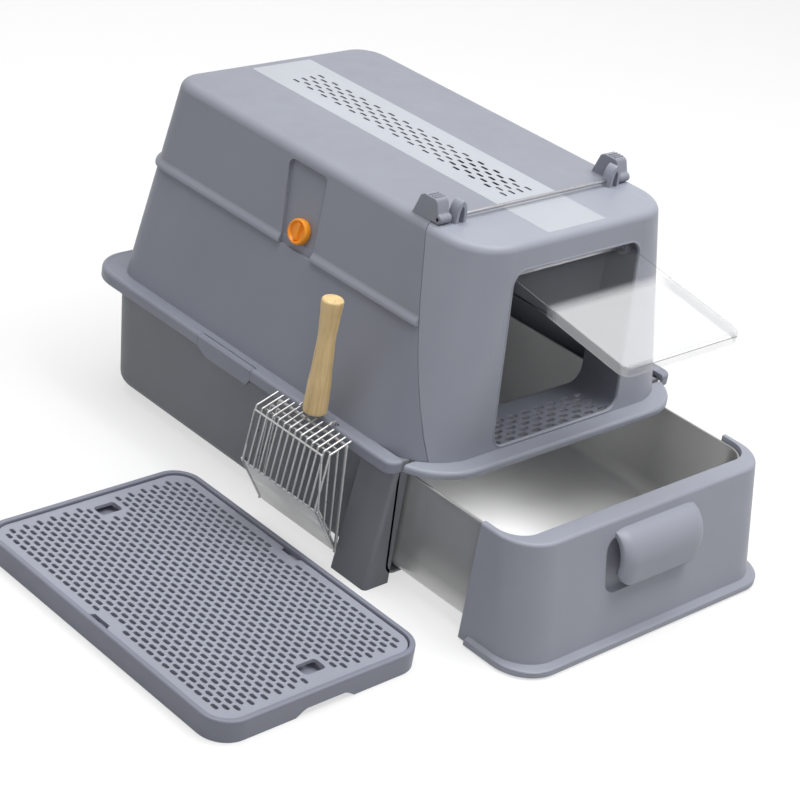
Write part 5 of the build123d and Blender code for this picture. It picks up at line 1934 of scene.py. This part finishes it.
@dataclass
class DripTray(SubAssembly):
    """Loose tray with its slotted grate."""

    main: ClassVar[str] = "tray"
    middle: Flat = (-400.8, -170.5)
    size: Flat = (273.0, 404.0)
    height: float = 25.2
    corner: float = 32.0
    edge: float = 2.2
    rim: float = 6.5
    floor_z: float = 10.0
    floor_t: float = 2.5
    hand: Point = (86.0, 54.0, 8.0)
    grate_top: float = 22.6
    grate_t: float = 4.0
    grate_gap: float = 1.2
    slot: Flat = (4.4, 9.4)
    slot_pitch: Flat = (8.6, 12.65)
    margin: Flat = (11.0, 13.5)
    hole: Flat = (27.5, 18.0)
    hole_at: Flat = (7.8, 167.5)
    notch: Flat = (24.0, 6.0)
    shift_y: float = 2.0

    def build(self) -> None:
        """Build and mount tray and grate."""
        self.shop.mount(self.tray(), "tray", "tray_plastic", "tray_base")
        self.shop.mount(self.grate(), "grate", "grate_plastic", "tray_grate")

    def ring(self, inset: float, z: float) -> list[Point]:
        """Trace the tray at a height.

        Args:
            inset: how far the outline is drawn in.
            z: the height.
        Returns:
            The outline's points.
        """
        x, y = self.middle
        half_w, half_l = self.size[0] / 2 - inset, self.size[1] / 2 - inset
        radius = max(self.corner - inset, 3.0)
        return at_height(outline(half_w, y - half_l, y + half_l, radius, radius, x, steps=12), z)

    def tray(self) -> Solid:
        """Make the tray with its raised floor and hand recesses.

        Returns:
            The tray.
        """
        top, rim, floor, edge = self.height, self.rim, self.floor_z, self.edge
        inside = floor + self.floor_t
        profile = ((rim / 2, floor), (rim / 2, 0.0), (0.8, 0.0), (0.0, 0.8), (0.0, top - edge),
                   *shoulder(edge, top, 4), (rim - 1.2, top), (rim - 0.3, top - 0.4), (rim, top - 1.2),
                   (rim, inside + 2), (rim + 2, inside))
        tray = self.make(Form().rings([self.ring(*pair) for pair in profile]), "tray_body", SOFT)
        x, y = self.middle
        wide, narrow, high = self.hand[0] / 2, self.hand[1] / 2, self.hand[2]
        points = [(x - wide, -2.0), (x + wide, -2.0), (x + narrow + 3, high - 2.0), (x + narrow - 2, high),
                  (x - narrow + 2, high), (x - narrow - 3, high - 2.0)]
        for sign in SIGNS:
            reach = sorted(y + sign * (self.size[1] / 2 + past) for past in (6, -12))
            self.cut(tray, Form().prism(points, *reach, Along.Y.place), SOFT)
        post = Form().rings([at_height(outline(half, -half, half, 2.5, 2.5, steps=3), z)
                             for half, z in ((6.5, -1.0), (6.0, 5.6), (5.4, 5.8))])
        places = [(x + sign * (self.size[0] / 2 - rim - 3), y + step * self.size[1] / 3, inside)
                  for sign in SIGNS for step in (-1, 0, 1)]
        merge(tray, [self.repeat(post, "ledges", places)])
        return tray

    def grate(self) -> Solid:
        """Make the grate with staggered slots, finger holes and edge notches.

        Returns:
            The grate.
        """
        inset = self.rim + self.grate_gap
        top, low = self.grate_top, self.grate_top - self.grate_t
        profile = ((0.6, low), (0.0, low + 0.6), (0.0, top - 1.0), (0.3, top - 0.3), (1.0, top))
        form = Form().rings([self.ring(inset + more, z) for more, z in profile])
        grate = self.make(form, "slotted_grate", SOFT, "grate")
        x, y = self.middle
        half, deep = self.notch[0] / 2, self.notch[1]
        along = y + self.shift_y
        holes = Form()
        for sign in SIGNS:
            hole_x, hole_y = x + self.hole_at[0], y + sign * self.hole_at[1] + self.shift_y
            wide, reach = self.hole[0] / 2, self.hole[1] / 2
            flat = outline(wide, hole_y - reach, hole_y + reach, 4, 4, hole_x, steps=5)
            holes.prism(flat, low - 3, top + 3)
            edge_x = x + sign * (self.size[0] / 2 - inset)
            holes.prism([(edge_x + sign * 3, along - half - 4), (edge_x - sign * deep, along - half),
                         (edge_x - sign * deep, along + half), (edge_x + sign * 3, along + half + 4)],
                        low - 3, top + 3)
        self.cut(grate, holes, SOFT)
        slots = slot_tool(self.slot, -6.0, 3.0, taper=0.35)
        carve(grate, self.repeat(slots, "grate_tool", self.slot_places(inset)), sharp=SOFT)
        return grate

    def slot_places(self, inset: float) -> list[Point]:
        """Find the middles of the grate's slots, clear of finger holes, notches and corners.

        Args:
            inset: how far the grate's edge lies inside the tray's.
        Returns:
            The middles.
        """
        x, y = self.middle
        pitch_x, pitch_y = self.slot_pitch
        half_w, half_l = (self.size[key] / 2 - inset - self.margin[key] for key in (0, 1))
        rows, columns = int(2 * half_w // pitch_x), int(2 * half_l // pitch_y)
        corner = self.corner - inset - 4.0
        places = []
        for row in range(rows + 1):
            off_x = (row - rows / 2) * pitch_x
            shift = 0.5 if row % 2 else 0.0
            for column in range(columns + 1):
                off_y = (column - columns / 2 + shift - 0.25) * pitch_y
                on_y = off_y - self.shift_y
                near_hole = (abs(off_x - self.hole_at[0]) < self.hole[0] / 2 + 3.5
                             and abs(abs(on_y) - self.hole_at[1]) < self.hole[1] / 2 + 7.5)
                near_notch = abs(off_x) > half_w - 4.0 and abs(on_y) < self.notch[0] / 2 + 8.0
                edge_x = abs(off_x) - (half_w + self.margin[0] - 6.0 - corner)
                edge_y = abs(off_y) - (half_l + self.margin[1] - 9.0 - corner)
                past = edge_x > 0 and edge_y > 0 and math.hypot(edge_x, edge_y) > corner
                if not (abs(off_y) > half_l or near_hole or near_notch or past):
                    places.append((x + off_x, y + off_y, self.grate_top))
        return places


# ---------------------------------------------------------------- studio
@dataclass
class Studio:
    """Pale floor, soft light and the camera at the photograph's angle."""

    floor_tone: float = 0.42
    floor_glow: float = 0.62
    sky: float = 0.36
    lens: float = 101.9
    eye: Point = (-1741.66, -1610.32, 1301.96)
    right: Point = (0.72173423, -0.67364677, 0.15905886)
    up: Point = (0.21726917, 0.43866914, 0.87198824)
    view: Point = (0.65718628, 0.59478518, -0.46296521)

    def build(self) -> None:
        """Set up floor, sky, lamps and camera."""
        self.floor()
        self.world()
        self.lamp("key_light", (800, -1000, 2900), (0, -60, 150), 1700, 54.0)
        self.lamp("top_light", (-300, 300, 3000), (0, 0, 100), 2200, 44.0)
        self.lamp("fill_light", (-1900, -2300, 1300), (0, -50, 150), 1600, 9.0)
        self.lamp("pan_light", (-50, -268, 122), (-50, -268, 0), 130, 0.27, 140.0)
        self.camera()
        bpy.context.scene.view_settings.view_transform = "Standard"

    def pale(self, tree: bpy.types.NodeTree) -> Socket:
        """Tell rays that see the backdrop directly, in a mirror or through glass.

        Args:
            tree: the node tree that needs to know.
        Returns:
            A socket that is 1 for such rays.
        """
        path = add_node(tree, "ShaderNodeLightPath")
        level = path.outputs["Is Camera Ray"]
        for kind in ("Is Transmission Ray", "Is Glossy Ray"):
            either = add_node(tree, "ShaderNodeMath", operation="MAXIMUM")
            tree.links.new(level, either.inputs[0])
            tree.links.new(path.outputs[kind], either.inputs[1])
            level = either.outputs[0]
        return level

    def mixed(self, tree: bpy.types.NodeTree, share: Union[Socket, float], first: bpy.types.Node,
              second: bpy.types.Node) -> bpy.types.Node:
        """Mix two shaders.

        Args:
            tree: their node tree.
            share: the second one's share.
            first: the one shader.
            second: the other shader.
        Returns:
            The mixing node.
        """
        mix = add_node(tree, "ShaderNodeMixShader")
        if isinstance(share, float):
            mix.inputs[0].default_value = share
        else:
            tree.links.new(share, mix.inputs[0])
        tree.links.new(first.outputs[0], mix.inputs[1])
        tree.links.new(second.outputs[0], mix.inputs[2])
        return mix

    def floor(self) -> None:
        """Make the pale floor that keeps the object's shadow."""
        material = bpy.data.materials.new("pale_floor")
        material.use_nodes = True
        tree = material.node_tree
        shader = tree.nodes["Principled BSDF"]
        for key, value in (("Base Color", (self.floor_tone, self.floor_tone, self.floor_tone, 1.0)),
                           ("Roughness", 1.0), ("Specular IOR Level", 0.0)):
            shader.inputs[key].default_value = value
        bright = add_node(tree, "ShaderNodeBsdfDiffuse", Color=(0.97, 0.97, 0.97, 1.0))
        glow = add_node(tree, "ShaderNodeEmission", Color=(1.0, 1.0, 1.0, 1.0), Strength=1.0)
        mix = self.mixed(tree, self.pale(tree), shader, self.mixed(tree, self.floor_glow, bright, glow))
        tree.links.new(mix.outputs[0], tree.nodes["Material Output"].inputs["Surface"])
        Form().box((-9000, -9000, -20), (9000, 9000, -0.05)).piece("studio_floor", material)

    def world(self) -> None:
        """Make a soft even sky that looks white to the camera."""
        world = bpy.data.worlds.new("studio_sky")
        bpy.context.scene.world = world
        world.use_nodes = True
        tree = world.node_tree
        soft = tree.nodes["Background"]
        soft.inputs["Color"].default_value = (1.0, 1.0, 1.0, 1.0)
        soft.inputs["Strength"].default_value = self.sky
        white = add_node(tree, "ShaderNodeBackground", Color=(1.0, 1.0, 1.0, 1.0), Strength=1.0)
        mix = self.mixed(tree, self.pale(tree), soft, white)
        tree.links.new(mix.outputs[0], tree.nodes["World Output"].inputs["Surface"])

    def lamp(self, name: str, place: Point, target: Point, size: float, power: float,
             spread: float = 180.0) -> None:
        """Hang one soft lamp.

        Args:
            name: the lamp's name.
            place: where it hangs, in millimetres.
            target: what it faces.
            size: width of its face in millimetres.
            power: its power in watts.
            spread: angle in degrees of its beam.
        """
        light = bpy.data.lights.new(name, "AREA")
        light.shape = "DISK"
        light.size = size * MM
        light.energy = power
        light.spread = math.radians(spread)
        lamp = new_object(name, light)
        lamp.location = Vector(place) * MM
        aim = (Vector(target) - Vector(place)).normalized()
        lamp.rotation_euler = aim.to_track_quat("-Z", "Y").to_euler()
        lamp.visible_camera = False
        lamp.visible_transmission = False

    def camera(self) -> None:
        """Set the camera where the photograph was taken from."""
        data = bpy.data.cameras.new("photo_camera")
        data.lens = self.lens
        data.sensor_width = 36.0
        data.clip_end = 60.0
        camera = new_object("photo_camera", data)
        turn = Matrix((Vector(self.right), Vector(self.up), -Vector(self.view))).transposed().to_4x4()
        turn.translation = Vector(self.eye) * MM
        camera.matrix_world = turn
        bpy.context.scene.camera = camera


def main() -> None:
    """Build the litter box and its studio."""
    logging.basicConfig(level=logging.INFO, format="%(message)s")
    shop = Workshop(Finishes(), Repeater())
    housing = Housing()
    for part in (Lid(shop, housing), FrontFrame(shop, housing), MiddleShell(shop, housing),
                 EntrySleeve(shop, housing), Base(shop), Drawer(shop), Scoop(shop), DripTray(shop)):
        part.build()
    Studio().build()
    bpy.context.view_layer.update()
    log.info("%d pieces made", len(shop.done))


if __name__ == "__main__":
    main()
